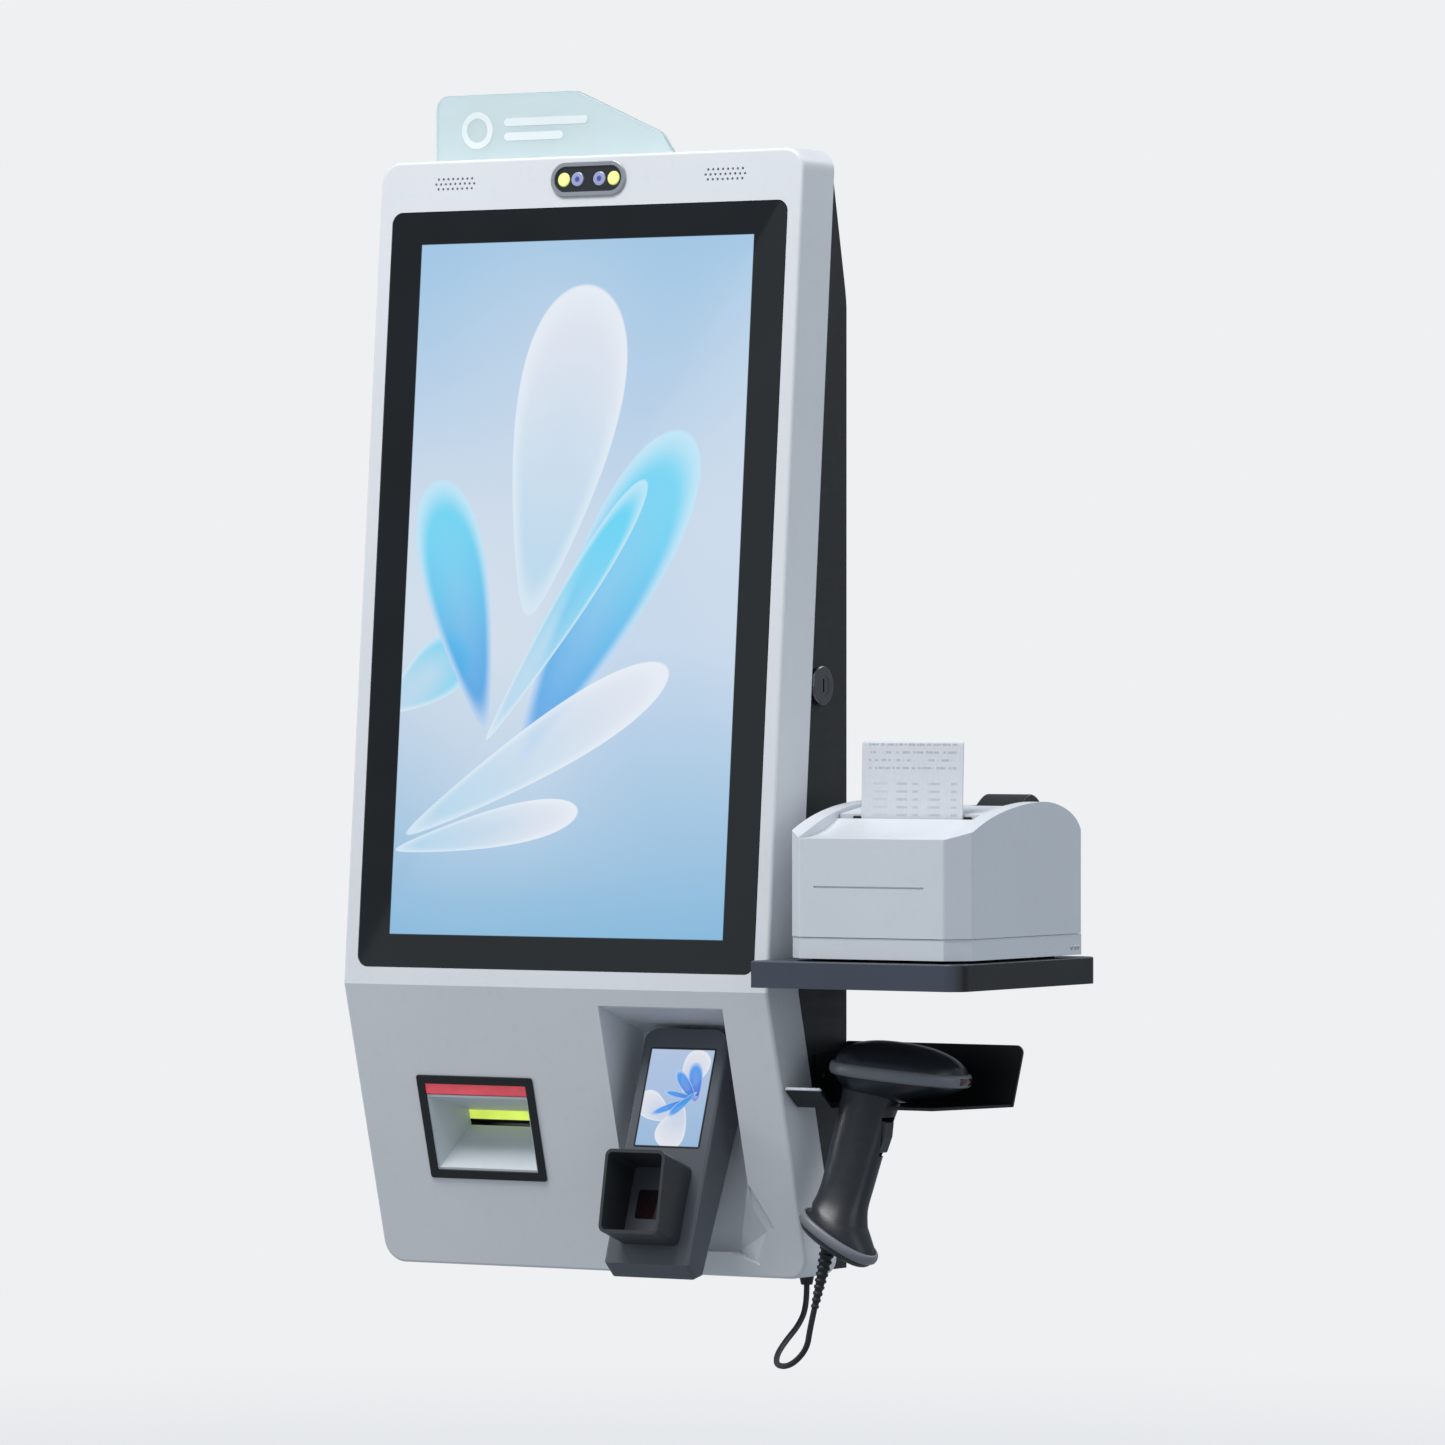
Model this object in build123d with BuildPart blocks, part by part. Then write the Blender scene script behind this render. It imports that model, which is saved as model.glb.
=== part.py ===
from build123d import *
import os
from math import cos, pi, radians, sin, tan

# Wall-mounted self checkout kiosk, in mm.
# X runs to the viewer's right, Y into the wall, Z up. The origin is the centre of the wall
# bracket's bolt pattern, on the wall. The door is the whole silver front.

os.makedirs("parts", exist_ok=True)

# Driving dimensions
WALL_GAP = 60.0            # wall to the cabinet's back sheet
CHIN_Z = -185.0            # height of the crease between the two front panels
CHIN_DEPTH = 112.0         # crease to the cabinet's back sheet
UPPER_TILT = 4.9           # upper panel leans back, degrees
UPPER_LENGTH = 569.0       # crease to top edge, along the panel
LOWER_TILT = 15.5          # lower panel recedes, degrees
LOWER_LENGTH = 202.0       # crease to bottom edge, along the panel
SHELL_WIDTH = 341.0
SHELL_DEPTH = 40.5         # door shell, front surface to rear rim, level
SHELL_WALL = 2.5
CORNER = 15.0              # outline corners of the door
RIM_WALL = 1.5             # rear rim of the door, and cabinet sheet
RIM_REACH = 12.5           # how far the rim turns in from the outline
RIM_REACH_TOP = 24.0       # the same at the top, where the cabinet is lower than the door
CABINET_HALF = 167.0
DOOR_GAP = 0.5             # door rim to cabinet edge
PANEL_GAP = 0.3            # slack round inset pieces

SCREEN_W, SCREEN_H = 267.8, 476.1      # lit area of a 21.5 inch 16:9 display
GLASS_W, GLASS_H = 318.5, 521.4
GLASS_THICK = 4.0
SCREEN_UP = 272.8                      # screen centre above the crease, along the panel
CAMERA_UP = 552.6                      # camera centre above the crease, along the panel
GRILLE_X = 109.0                       # speaker centres either side of the middle

# Directions and reference places that follow from them
BACK_Y = -WALL_GAP
CHIN_Y = BACK_Y - CHIN_DEPTH
TOP_Z = CHIN_Z + UPPER_LENGTH * cos(radians(UPPER_TILT))
LOW_Z = CHIN_Z - LOWER_LENGTH * cos(radians(LOWER_TILT))
upper = Plane(
    origin=(0, CHIN_Y, CHIN_Z),
    x_dir=(1, 0, 0),
    z_dir=(0, -cos(radians(UPPER_TILT)), sin(radians(UPPER_TILT))),
)
lower = Plane(
    origin=(0, CHIN_Y, CHIN_Z),
    x_dir=(1, 0, 0),
    z_dir=(0, -cos(radians(LOWER_TILT)), -sin(radians(LOWER_TILT))),
)


def front_y(z):
    """Y of the door's front surface at height z."""
    lean = UPPER_TILT if z > CHIN_Z else LOWER_TILT
    return CHIN_Y + abs(z - CHIN_Z) * tan(radians(lean))


def yz(y, z):
    """A side-view point, y from the cabinet's back sheet and z from the crease."""
    return (BACK_Y + y, CHIN_Z + z)


def spot(x, y, z):
    """A point in space, y from the cabinet's back sheet and z from the crease."""
    return (x, BACK_Y + y, CHIN_Z + z)


def door_outline(front, back, top_gap, foot_gap):
    """Side outline between two depths behind the front surface, short of the top and foot."""
    high, low = TOP_Z - top_gap, LOW_Z + foot_gap
    return [
        (front_y(high) + front, high),
        (CHIN_Y + front, CHIN_Z),
        (front_y(low) + front, low),
        (front_y(low) + back, low),
        (CHIN_Y + back, CHIN_Z),
        (front_y(high) + back, high),
    ]


def level(z):
    """The horizontal plane z above the crease."""
    return Plane.XY.offset(CHIN_Z + z)


def upright(y):
    """The plane parallel to the wall, y from the cabinet's back sheet; it faces the viewer."""
    return Plane.XZ.offset(-(BACK_Y + y))


def across(x):
    """The side-view plane at x, facing the viewer's right."""
    return Plane.YZ.offset(x)


# ---------------------------------------------------------------- door shell
OUTLET_X = -74.15                      # receipt outlet centre
OUTLET_W, OUTLET_H = 94.7, 74.4
OUTLET_DOWN = 101.8                    # outlet centre below the crease, along the panel
OUTLET_FLANGE = 2.3                    # bezel flange that laps the shell
RECESS_LEFT, RECESS_RIGHT = 35.0, 133.5
RECESS_TOP, RECESS_FOOT = -11.3, -178.0
FLARE_TOP, FLARE_TIP, FLARE_FOOT = (133.5, -130.0), (149.3, -159.0), (133.5, -186.0)
SIGN_Y = -45.0
SIGN_THICK = 5.0
SIGN_LEFT, SIGN_RIGHT = -136.0, 56.0
CAMERA_RING = (60.4, 24.0)
CAMERA_HOLE = (57.0, 20.6)
HOLE_PITCH_X, HOLE_PITCH_Y, HOLE_R = 3.9, 3.4, 0.95


def on_lower(x, z):
    """A point of the lower panel's own sketch, from x and the height below the crease."""
    return (x, z / cos(radians(LOWER_TILT)))


with BuildPart() as door_hollow:
    with BuildSketch(Plane.YZ):
        Polygon(
            *door_outline(SHELL_WALL, SHELL_DEPTH - RIM_WALL, SHELL_WALL, SHELL_WALL),
            align=None,
        )
    extrude(amount=SHELL_WIDTH / 2 - SHELL_WALL, both=True)
    fillet(door_hollow.edges().filter_by(Axis.Y), CORNER - SHELL_WALL)
    with BuildSketch(Plane.YZ):
        Polygon(
            *door_outline(SHELL_DEPTH - 5, SHELL_DEPTH + 5, RIM_REACH_TOP, RIM_REACH),
            align=None,
        )
    extrude(amount=SHELL_WIDTH / 2 - RIM_REACH, both=True)

# The clear corner beside the terminal, where the recess runs out into the panel.
flare_root = Vector(*spot(112.0, -50.0, RECESS_FOOT))
with BuildPart() as flare:
    with BuildSketch(lower):
        Polygon(
            on_lower(*FLARE_TOP),
            on_lower(*FLARE_TIP),
            on_lower(*FLARE_FOOT),
            on_lower(112.0, RECESS_FOOT),
            align=None,
        )
    loft(sections=[flare.pending_faces[0], Vertex(*flare_root)])

with BuildPart() as front_shell:
    with BuildSketch(Plane.YZ):
        Polygon(*door_outline(0, SHELL_DEPTH, 0, 0), align=None)
    extrude(amount=SHELL_WIDTH / 2, both=True)
    fillet(front_shell.edges().filter_by(Axis.Y), CORNER)
    rim = front_shell.edges().filter_by(
        lambda e: all(abs((e @ t).Y - front_y((e @ t).Z)) < 0.01 for t in (0, 0.5, 1))
    )
    fillet(rim.filter_by(lambda e: abs((e @ 0.5).Z - CHIN_Z) > 1), 2.4)
    add(door_hollow.part, mode=Mode.SUBTRACT)
    # window for the screen, camera hole and speaker holes
    with BuildSketch(upper):
        with Locations((0, SCREEN_UP)):
            RectangleRounded(GLASS_W + 2 * PANEL_GAP, GLASS_H + 2 * PANEL_GAP, 8.0 + PANEL_GAP)
        with Locations((0, CAMERA_UP)):
            SlotOverall(*CAMERA_HOLE)
        for side in (-GRILLE_X, GRILLE_X):
            with Locations((side, CAMERA_UP)):
                with GridLocations(HOLE_PITCH_X, 2 * HOLE_PITCH_Y, 8, 2):
                    Circle(HOLE_R)
                with GridLocations(HOLE_PITCH_X, 1, 9, 1):
                    Circle(HOLE_R)
    extrude(amount=-6, mode=Mode.SUBTRACT)
    # receipt outlet, and the recess for the payment terminal
    with BuildSketch(lower):
        with Locations((OUTLET_X, -OUTLET_DOWN)):
            Rectangle(OUTLET_W - 2 * OUTLET_FLANGE, OUTLET_H - 2 * OUTLET_FLANGE)
        Polygon(
            on_lower(RECESS_LEFT, RECESS_TOP),
            on_lower(RECESS_RIGHT, RECESS_TOP),
            on_lower(*FLARE_TOP),
            on_lower(*FLARE_TIP),
            on_lower(*FLARE_FOOT),
            on_lower(112.0, RECESS_FOOT),
            on_lower(RECESS_LEFT, RECESS_FOOT),
            align=None,
        )
    extrude(amount=-6, mode=Mode.SUBTRACT)
    # slot in the top for the sign
    with BuildSketch(Plane.XY.offset(TOP_Z - 5)):
        with Locations(((SIGN_LEFT + SIGN_RIGHT) / 2, BACK_Y + SIGN_Y)):
            Rectangle(SIGN_RIGHT - SIGN_LEFT + 1, SIGN_THICK + 2 * PANEL_GAP)
    extrude(amount=10, mode=Mode.SUBTRACT)
front_shell.part.label = "front_shell"
export_step(front_shell.part, "parts/front_shell.step")

# ---------------------------------------------------------------- screen
LCD_THICK = 11.5
TRAY_FLOOR = 1.5
TRAY_DEPTH = 16.0

with BuildPart() as screen_glass:
    with BuildSketch(upper):
        with Locations((0, SCREEN_UP)):
            RectangleRounded(GLASS_W, GLASS_H, 8.0)
    extrude(amount=-GLASS_THICK)
    chamfer(screen_glass.faces().sort_by(Axis.Y)[0].edges(), 0.4)
screen_glass.part.label = "screen_glass"
export_step(screen_glass.part, "parts/screen_glass.step")

with BuildPart() as lcd_panel:
    with BuildSketch(upper.offset(-GLASS_THICK)):
        with Locations((0, SCREEN_UP)):
            Rectangle(SCREEN_W + 26, SCREEN_H + 22)
    extrude(amount=-LCD_THICK)
lcd_panel.part.label = "lcd_panel"
export_step(lcd_panel.part, "parts/lcd_panel.step")

with BuildPart() as lcd_backplate:
    with BuildSketch(upper.offset(-SHELL_WALL)):
        with Locations((0, SCREEN_UP)):
            RectangleRounded(GLASS_W + 14, GLASS_H + 12.5, 6)
    extrude(amount=-TRAY_DEPTH)
    with BuildSketch(upper.offset(-SHELL_WALL)):
        with Locations((0, SCREEN_UP)):
            RectangleRounded(GLASS_W + 1.5, GLASS_H + 1.5, 8.5)
    extrude(amount=-(TRAY_DEPTH - TRAY_FLOOR), mode=Mode.SUBTRACT)
lcd_backplate.part.label = "lcd_backplate"
export_step(lcd_backplate.part, "parts/lcd_backplate.step")

# ---------------------------------------------------------------- camera
LENS_X, LENS_R = 8.8, 5.4
LED_X, LED_R = 20.0, 4.9
BEZEL_PROUD = 1.6

with BuildPart() as camera_bezel:
    with BuildSketch(upper):
        with Locations((0, CAMERA_UP)):
            SlotOverall(*CAMERA_RING)
    extrude(amount=BEZEL_PROUD)
    fillet(camera_bezel.faces().sort_by(Axis.Y)[0].edges(), 0.7)
    with BuildSketch(upper):
        with Locations((0, CAMERA_UP)):
            SlotOverall(CAMERA_HOLE[0] - 0.6, CAMERA_HOLE[1] - 0.6)
    extrude(amount=-7)
    with BuildSketch(upper.offset(-7)):
        with Locations((0, CAMERA_UP)):
            SlotOverall(CAMERA_HOLE[0] - 3.0, CAMERA_HOLE[1] - 3.0)
    extrude(amount=10, mode=Mode.SUBTRACT)
camera_bezel.part.label = "camera_bezel"
export_step(camera_bezel.part, "parts/camera_bezel.step")

with BuildPart() as camera_window:
    with BuildSketch(upper.offset(0.4)):
        with Locations((0, CAMERA_UP)):
            SlotOverall(CAMERA_HOLE[0] - 3.2, CAMERA_HOLE[1] - 3.2)
        with Locations((-LENS_X, CAMERA_UP), (LENS_X, CAMERA_UP)):
            Circle(LENS_R + 0.1, mode=Mode.SUBTRACT)
        with Locations((-LED_X, CAMERA_UP), (LED_X, CAMERA_UP)):
            Circle(LED_R + 0.1, mode=Mode.SUBTRACT)
    extrude(amount=-2.4)
camera_window.part.label = "camera_window"
export_step(camera_window.part, "parts/camera_window.step")

with BuildPart() as camera_lenses:
    with BuildSketch(upper.offset(-6)):
        with Locations((-LENS_X, CAMERA_UP), (LENS_X, CAMERA_UP)):
            Circle(LENS_R)
    extrude(amount=7.0)
    fillet(camera_lenses.edges().group_by(Axis.Y)[0], 1.4)
camera_lenses.part.label = "camera_lenses"
export_step(camera_lenses.part, "parts/camera_lenses.step")

with BuildPart() as camera_leds:
    with BuildSketch(upper.offset(-6)):
        with Locations((-LED_X, CAMERA_UP), (LED_X, CAMERA_UP)):
            Circle(LED_R)
    extrude(amount=6.8)
    fillet(camera_leds.edges().group_by(Axis.Y)[0], 1.2)
camera_leds.part.label = "camera_leds"
export_step(camera_leds.part, "parts/camera_leds.step")

with BuildPart() as camera_board:
    with BuildSketch(upper.offset(-7.2)):
        with Locations((0, CAMERA_UP)):
            Rectangle(66, 21)
    extrude(amount=-1.6)
    with BuildSketch(upper.offset(-8.8)):
        with Locations((-18, CAMERA_UP), (20, CAMERA_UP)):
            Rectangle(12, 12)
    extrude(amount=-2)
camera_board.part.label = "camera_board"
export_step(camera_board.part, "parts/camera_board.step")

with BuildPart() as speakers:
    with BuildSketch(upper.offset(-SHELL_WALL - 0.2)):
        with Locations((-GRILLE_X, CAMERA_UP), (GRILLE_X, CAMERA_UP)):
            SlotOverall(46, 21)
    extrude(amount=-4)
    with BuildSketch(upper.offset(-SHELL_WALL - 4.2)):
        with Locations((-GRILLE_X, CAMERA_UP), (GRILLE_X, CAMERA_UP)):
            SlotOverall(30, 16)
    extrude(amount=-7)
speakers.part.label = "speakers"
export_step(speakers.part, "parts/speakers.step")

# ---------------------------------------------------------------- sign
SIGN_SUNK = 11.0           # how far the sign reaches into the shell
SIGN_TALL = 46.0           # how far it stands above the shell
CLAMP_WALL = 2.0

with BuildPart() as sign_panel:
    with BuildSketch(upright(SIGN_Y + SIGN_THICK / 2)):
        with BuildLine():
            FilletPolyline(
                (SIGN_LEFT, TOP_Z - SIGN_SUNK),
                (SIGN_LEFT, TOP_Z + SIGN_TALL),
                (-22, TOP_Z + SIGN_TALL),
                (47, TOP_Z + 15),
                (SIGN_RIGHT, TOP_Z + 1.5),
                (SIGN_RIGHT, TOP_Z - SIGN_SUNK),
                radius=[10, 14, 10, 1.5],
            )
            Line((SIGN_RIGHT, TOP_Z - SIGN_SUNK), (SIGN_LEFT, TOP_Z - SIGN_SUNK))
        make_face()
    extrude(amount=SIGN_THICK)
    chamfer(sign_panel.edges().group_by(Axis.Y)[0] + sign_panel.edges().group_by(Axis.Y)[-1], 0.4)
sign_panel.part.label = "sign_panel"
export_step(sign_panel.part, "parts/sign_panel.step")

with BuildPart() as sign_base:
    with BuildSketch(Plane.XY.offset(TOP_Z - SHELL_WALL)):
        with Locations(((SIGN_LEFT + SIGN_RIGHT) / 2, BACK_Y + SIGN_Y)):
            Rectangle(SIGN_RIGHT - SIGN_LEFT + 6, SIGN_THICK + 2 * CLAMP_WALL)
    extrude(amount=-(SIGN_SUNK + 1.5 - SHELL_WALL))
    with BuildSketch(Plane.XY.offset(TOP_Z - SHELL_WALL)):
        with Locations(((SIGN_LEFT + SIGN_RIGHT) / 2, BACK_Y + SIGN_Y)):
            Rectangle(SIGN_RIGHT - SIGN_LEFT + 0.2, SIGN_THICK + 0.1)
    extrude(amount=-(SIGN_SUNK - SHELL_WALL), mode=Mode.SUBTRACT)
sign_base.part.label = "sign_base"
export_step(sign_base.part, "parts/sign_base.step")

# ---------------------------------------------------------------- receipt outlet and its printer
BEZEL_BAR = 6.0            # visible width of the outlet's black frame
RED_TALL = 7.7             # red light strip across the outlet's top
MOUTH_W = OUTLET_W - 2 * BEZEL_BAR
MOUTH_H = OUTLET_H - 2 * BEZEL_BAR
FUNNEL_H = MOUTH_H - RED_TALL - 0.4
FUNNEL_DOWN = OUTLET_DOWN + (MOUTH_H - FUNNEL_H) / 2
FUNNEL_DEPTH = 33.0
THROAT_W, THROAT_H = 62.0, 11.0
ROLL_R, ROLL_W = 25.0, 79.0
ROLL_AT = yz(-72.0, -36.0)
PLATEN_AT = yz(-41.5, -91.0)
PLATEN_R = 6.0
CHEEK_X = 45.0             # inner faces of the built-in printer's side plates, from its middle
CHEEK_WALL = 2.0
AXLE_R, SHAFT_R, RUN_FIT = 3.0, 2.5, 0.05

with BuildPart() as receipt_bezel:
    with BuildSketch(lower):
        with Locations((OUTLET_X, -OUTLET_DOWN)):
            RectangleRounded(OUTLET_W, OUTLET_H, 2)
    extrude(amount=1.4)
    fillet(receipt_bezel.faces().sort_by(Axis.Y)[0].edges(), 0.6)
    with BuildSketch(lower):
        with Locations((OUTLET_X, -OUTLET_DOWN)):
            Rectangle(OUTLET_W - 2 * OUTLET_FLANGE - 0.6, OUTLET_H - 2 * OUTLET_FLANGE - 0.6)
    extrude(amount=-8)
    with BuildSketch(lower.offset(-8)):
        with Locations((OUTLET_X, -OUTLET_DOWN)):
            Rectangle(MOUTH_W, MOUTH_H)
    extrude(amount=12, mode=Mode.SUBTRACT)
receipt_bezel.part.label = "receipt_bezel"
export_step(receipt_bezel.part, "parts/receipt_bezel.step")

with BuildPart() as receipt_light_red:
    with BuildSketch(lower.offset(0.2)):
        with Locations((OUTLET_X, -OUTLET_DOWN + MOUTH_H / 2 - RED_TALL / 2)):
            Rectangle(MOUTH_W - 0.2, RED_TALL - 0.2)
    extrude(amount=-6)
receipt_light_red.part.label = "receipt_light_red"
export_step(receipt_light_red.part, "parts/receipt_light_red.step")

with BuildPart() as receipt_chute:
    with BuildSketch(lower.offset(-0.2)):
        with Locations((OUTLET_X, -FUNNEL_DOWN)):
            Rectangle(MOUTH_W - 0.2, FUNNEL_H - 0.2)
    with BuildSketch(lower.offset(-FUNNEL_DEPTH)):
        with Locations((OUTLET_X, -FUNNEL_DOWN)):
            Rectangle(THROAT_W + 4, THROAT_H + 4)
    loft()
    with BuildSketch(lower.offset(0.1)):
        with Locations((OUTLET_X, -FUNNEL_DOWN)):
            Rectangle(MOUTH_W - 3.0, FUNNEL_H - 3.0)
    with BuildSketch(lower.offset(-FUNNEL_DEPTH - 0.1)):
        with Locations((OUTLET_X, -FUNNEL_DOWN)):
            Rectangle(THROAT_W, THROAT_H)
    loft(mode=Mode.SUBTRACT)
receipt_chute.part.label = "receipt_chute"
export_step(receipt_chute.part, "parts/receipt_chute.step")

with BuildPart() as receipt_light_yellow:
    with BuildSketch(lower.offset(-FUNNEL_DEPTH)):
        with Locations((OUTLET_X, -FUNNEL_DOWN + THROAT_H / 4 + 0.5)):
            Rectangle(THROAT_W + 4, THROAT_H / 2 + 3)
    extrude(amount=-3)
receipt_light_yellow.part.label = "receipt_light_yellow"
export_step(receipt_light_yellow.part, "parts/receipt_light_yellow.step")

with BuildPart() as receipt_printer_frame:
    with BuildSketch(across(OUTLET_X)):
        Polygon(
            yz(-97, -14), yz(-50, -14), yz(-30, -75), yz(-30, -104), yz(-66, -104), yz(-79, -66),
            align=None,
        )
    extrude(amount=CHEEK_X + CHEEK_WALL, both=True)
    with BuildSketch(across(OUTLET_X)):
        Rectangle(900, 900)
    extrude(amount=CHEEK_X, both=True, mode=Mode.SUBTRACT)
    # print head block in front of the platen, and the back bar
    with BuildSketch(across(OUTLET_X)):
        Polygon(yz(-58, -80), yz(-48, -80), yz(-48, -66), yz(-58, -66), align=None)
        Polygon(yz(-32.5, -103), yz(-30.5, -103), yz(-30.5, -78), yz(-32.5, -78), align=None)
    extrude(amount=CHEEK_X, both=True)
    with BuildSketch(across(OUTLET_X)):
        with Locations(ROLL_AT):
            Circle(AXLE_R + RUN_FIT)
        with Locations(PLATEN_AT):
            Circle(SHAFT_R + RUN_FIT)
    extrude(amount=CHEEK_X + 5, both=True, mode=Mode.SUBTRACT)
receipt_printer_frame.part.label = "receipt_printer_frame"
export_step(receipt_printer_frame.part, "parts/receipt_printer_frame.step")

with BuildPart() as receipt_platen:
    with BuildSketch(across(OUTLET_X)):
        with Locations(PLATEN_AT):
            Circle(PLATEN_R)
    extrude(amount=CHEEK_X - 3, both=True)
    with BuildSketch(across(OUTLET_X)):
        with Locations(PLATEN_AT):
            Circle(SHAFT_R)
    extrude(amount=CHEEK_X + CHEEK_WALL + 2, both=True)
receipt_platen.part.label = "receipt_platen"
export_step(receipt_platen.part, "parts/receipt_platen.step")

with BuildPart() as receipt_roll:
    with BuildSketch(across(OUTLET_X)):
        with Locations(ROLL_AT):
            Circle(ROLL_R)
    extrude(amount=ROLL_W / 2, both=True)
    with BuildSketch(across(OUTLET_X)):
        with Locations(ROLL_AT):
            Circle(AXLE_R)
    extrude(amount=CHEEK_X + CHEEK_WALL + 1.5, both=True)
receipt_roll.part.label = "receipt_roll"
export_step(receipt_roll.part, "parts/receipt_roll.step")

# ---------------------------------------------------------------- payment terminal and its recess
TERMINAL_X = 84.5
TERMINAL_W = 67.0
TERMINAL_TILT = 19.1       # its face leans back, degrees
TERMINAL_FACE = (-78.1, -39.9)         # top edge of its display, on its face
RECESS_BACK = -50.0
RECESS_WALL = 2.0
HOOD_W, HOOD_H = 47.0, 56.0
HOOD_DOWN = 110.0          # hood centre below the display's top edge, along the face
HOOD_WALL = 2.2
face = Plane(
    origin=spot(TERMINAL_X, *TERMINAL_FACE),
    x_dir=(1, 0, 0),
    z_dir=(0, -cos(radians(TERMINAL_TILT)), sin(radians(TERMINAL_TILT))),
)


def face_y(z):
    """Y of the terminal's face, from the cabinet's back sheet, at z from the crease."""
    return TERMINAL_FACE[0] + (z - TERMINAL_FACE[1]) * tan(radians(TERMINAL_TILT))


def panel_y(z):
    """Y of the lower panel's surface, from the cabinet's back sheet, at z from the crease."""
    return front_y(CHIN_Z + z) - BACK_Y


# the part of the flare's face that stands inside the recess, left of its right wall
with BuildPart() as flare_block:
    with BuildSketch(upright(RECESS_BACK)):
        Polygon(
            (RECESS_RIGHT, CHIN_Z + FLARE_TOP[1]),
            (112.0, CHIN_Z + RECESS_FOOT),
            (RECESS_RIGHT, CHIN_Z + RECESS_FOOT),
            align=None,
        )
    extrude(amount=45)
    with BuildSketch(across(RECESS_RIGHT)):
        Polygon(
            yz(panel_y(-125), -125), yz(panel_y(-182), -182), yz(-120, -182), yz(-120, -125),
            align=None,
        )
    extrude(amount=-30, mode=Mode.SUBTRACT)
    add(flare.part, mode=Mode.SUBTRACT)

with BuildPart() as terminal_recess:
    with BuildSketch(across((RECESS_LEFT + RECESS_RIGHT) / 2)):
        Polygon(
            yz(panel_y(RECESS_TOP + 2) + SHELL_WALL, RECESS_TOP + 2),
            yz(RECESS_BACK + RECESS_WALL, -28),
            yz(RECESS_BACK + RECESS_WALL, RECESS_FOOT - 2),
            yz(panel_y(RECESS_FOOT - 2) + SHELL_WALL, RECESS_FOOT - 2),
            align=None,
        )
    extrude(amount=(RECESS_RIGHT - RECESS_LEFT) / 2 + RECESS_WALL, both=True)
    # the solid corner that carries the flare
    with BuildSketch(across(RECESS_RIGHT)):
        Polygon(
            yz(panel_y(-126) + SHELL_WALL, -126),
            yz(RECESS_BACK + RECESS_WALL, -126),
            yz(RECESS_BACK + RECESS_WALL, -189),
            yz(panel_y(-189) + SHELL_WALL, -189),
            align=None,
        )
    extrude(amount=18)
    with BuildSketch(across(110)):
        Polygon(
            yz(panel_y(-176) + SHELL_WALL, -176),
            yz(RECESS_BACK + RECESS_WALL, -176),
            yz(RECESS_BACK + RECESS_WALL, -189),
            yz(panel_y(-189) + SHELL_WALL, -189),
            align=None,
        )
    extrude(amount=25)
    with BuildSketch(across((RECESS_LEFT + RECESS_RIGHT) / 2)):
        Polygon(
            yz(panel_y(RECESS_TOP) - 5, RECESS_TOP),
            yz(panel_y(RECESS_TOP), RECESS_TOP),
            yz(RECESS_BACK, -31),
            yz(RECESS_BACK, RECESS_FOOT),
            yz(panel_y(RECESS_FOOT) - 5, RECESS_FOOT),
            align=None,
        )
    extrude(amount=(RECESS_RIGHT - RECESS_LEFT) / 2, both=True, mode=Mode.SUBTRACT)
    add(flare.part, mode=Mode.SUBTRACT)
    add(flare_block.part)
terminal_recess.part.label = "terminal_recess"
export_step(terminal_recess.part, "parts/terminal_recess.step")

with BuildPart() as terminal_body:
    with BuildSketch(across(TERMINAL_X)):
        Polygon(
            yz(face_y(-27), -27),
            yz(face_y(-183), -183),
            yz(-117, -193),
            yz(-107, -191),
            yz(-60, -90),
            yz(-59, -36),
            yz(-64, -28),
            align=None,
        )
    extrude(amount=TERMINAL_W / 2, both=True)
    sides = terminal_body.faces().filter_by(Axis.X)
    fillet(sides.edges(), 3.0)
    # rounded upper corners
    with BuildSketch(face.offset(12)):
        with Locations((0, (13.4 - 180) / 2)):
            RectangleRounded(TERMINAL_W, 13.4 + 180, 12)
    extrude(amount=-90, mode=Mode.INTERSECT)
    # shallow seat for the display glass
    with BuildSketch(face.offset(-1.6)):
        with Locations((0, -35)):
            RectangleRounded(52.4, 70.4, 1.5)
    extrude(amount=5, mode=Mode.SUBTRACT)
    # window of the scan engine
    with BuildSketch(face.offset(-2.0)):
        with Locations((0, -HOOD_DOWN)):
            RectangleRounded(30.4, 20.4, 2)
    extrude(amount=5, mode=Mode.SUBTRACT)
terminal_body.part.label = "terminal_body"
export_step(terminal_body.part, "parts/terminal_body.step")

with BuildPart() as terminal_screen:
    with BuildSketch(face.offset(-1.6)):
        with Locations((0, -35)):
            RectangleRounded(52, 70, 1.3)
    extrude(amount=1.7)
terminal_screen.part.label = "terminal_screen"
export_step(terminal_screen.part, "parts/terminal_screen.step")

with BuildPart() as terminal_hood:
    with BuildSketch(face.offset(0.1)):
        with Locations((0, -HOOD_DOWN)):
            RectangleRounded(HOOD_W, HOOD_H, 5)
    extrude(amount=38)
    with BuildSketch(face.offset(0.1)):
        with Locations((0, -HOOD_DOWN)):
            RectangleRounded(HOOD_W - 2 * HOOD_WALL, HOOD_H - 2 * HOOD_WALL, 3.2)
    extrude(amount=38, mode=Mode.SUBTRACT)
    # the lower lip is shorter than the upper one
    with BuildSketch(across(TERMINAL_X)):
        Polygon(yz(-139.5, -104), yz(-151, -166), yz(-185, -166), yz(-185, -104), align=None)
    extrude(amount=HOOD_W, both=True, mode=Mode.SUBTRACT)
terminal_hood.part.label = "terminal_hood"
export_step(terminal_hood.part, "parts/terminal_hood.step")

with BuildPart() as terminal_scan_window:
    with BuildSketch(face.offset(-2.0)):
        with Locations((0, -HOOD_DOWN)):
            RectangleRounded(30, 20, 1.8)
    extrude(amount=1.8)
terminal_scan_window.part.label = "terminal_scan_window"
export_step(terminal_scan_window.part, "parts/terminal_scan_window.step")

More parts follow.
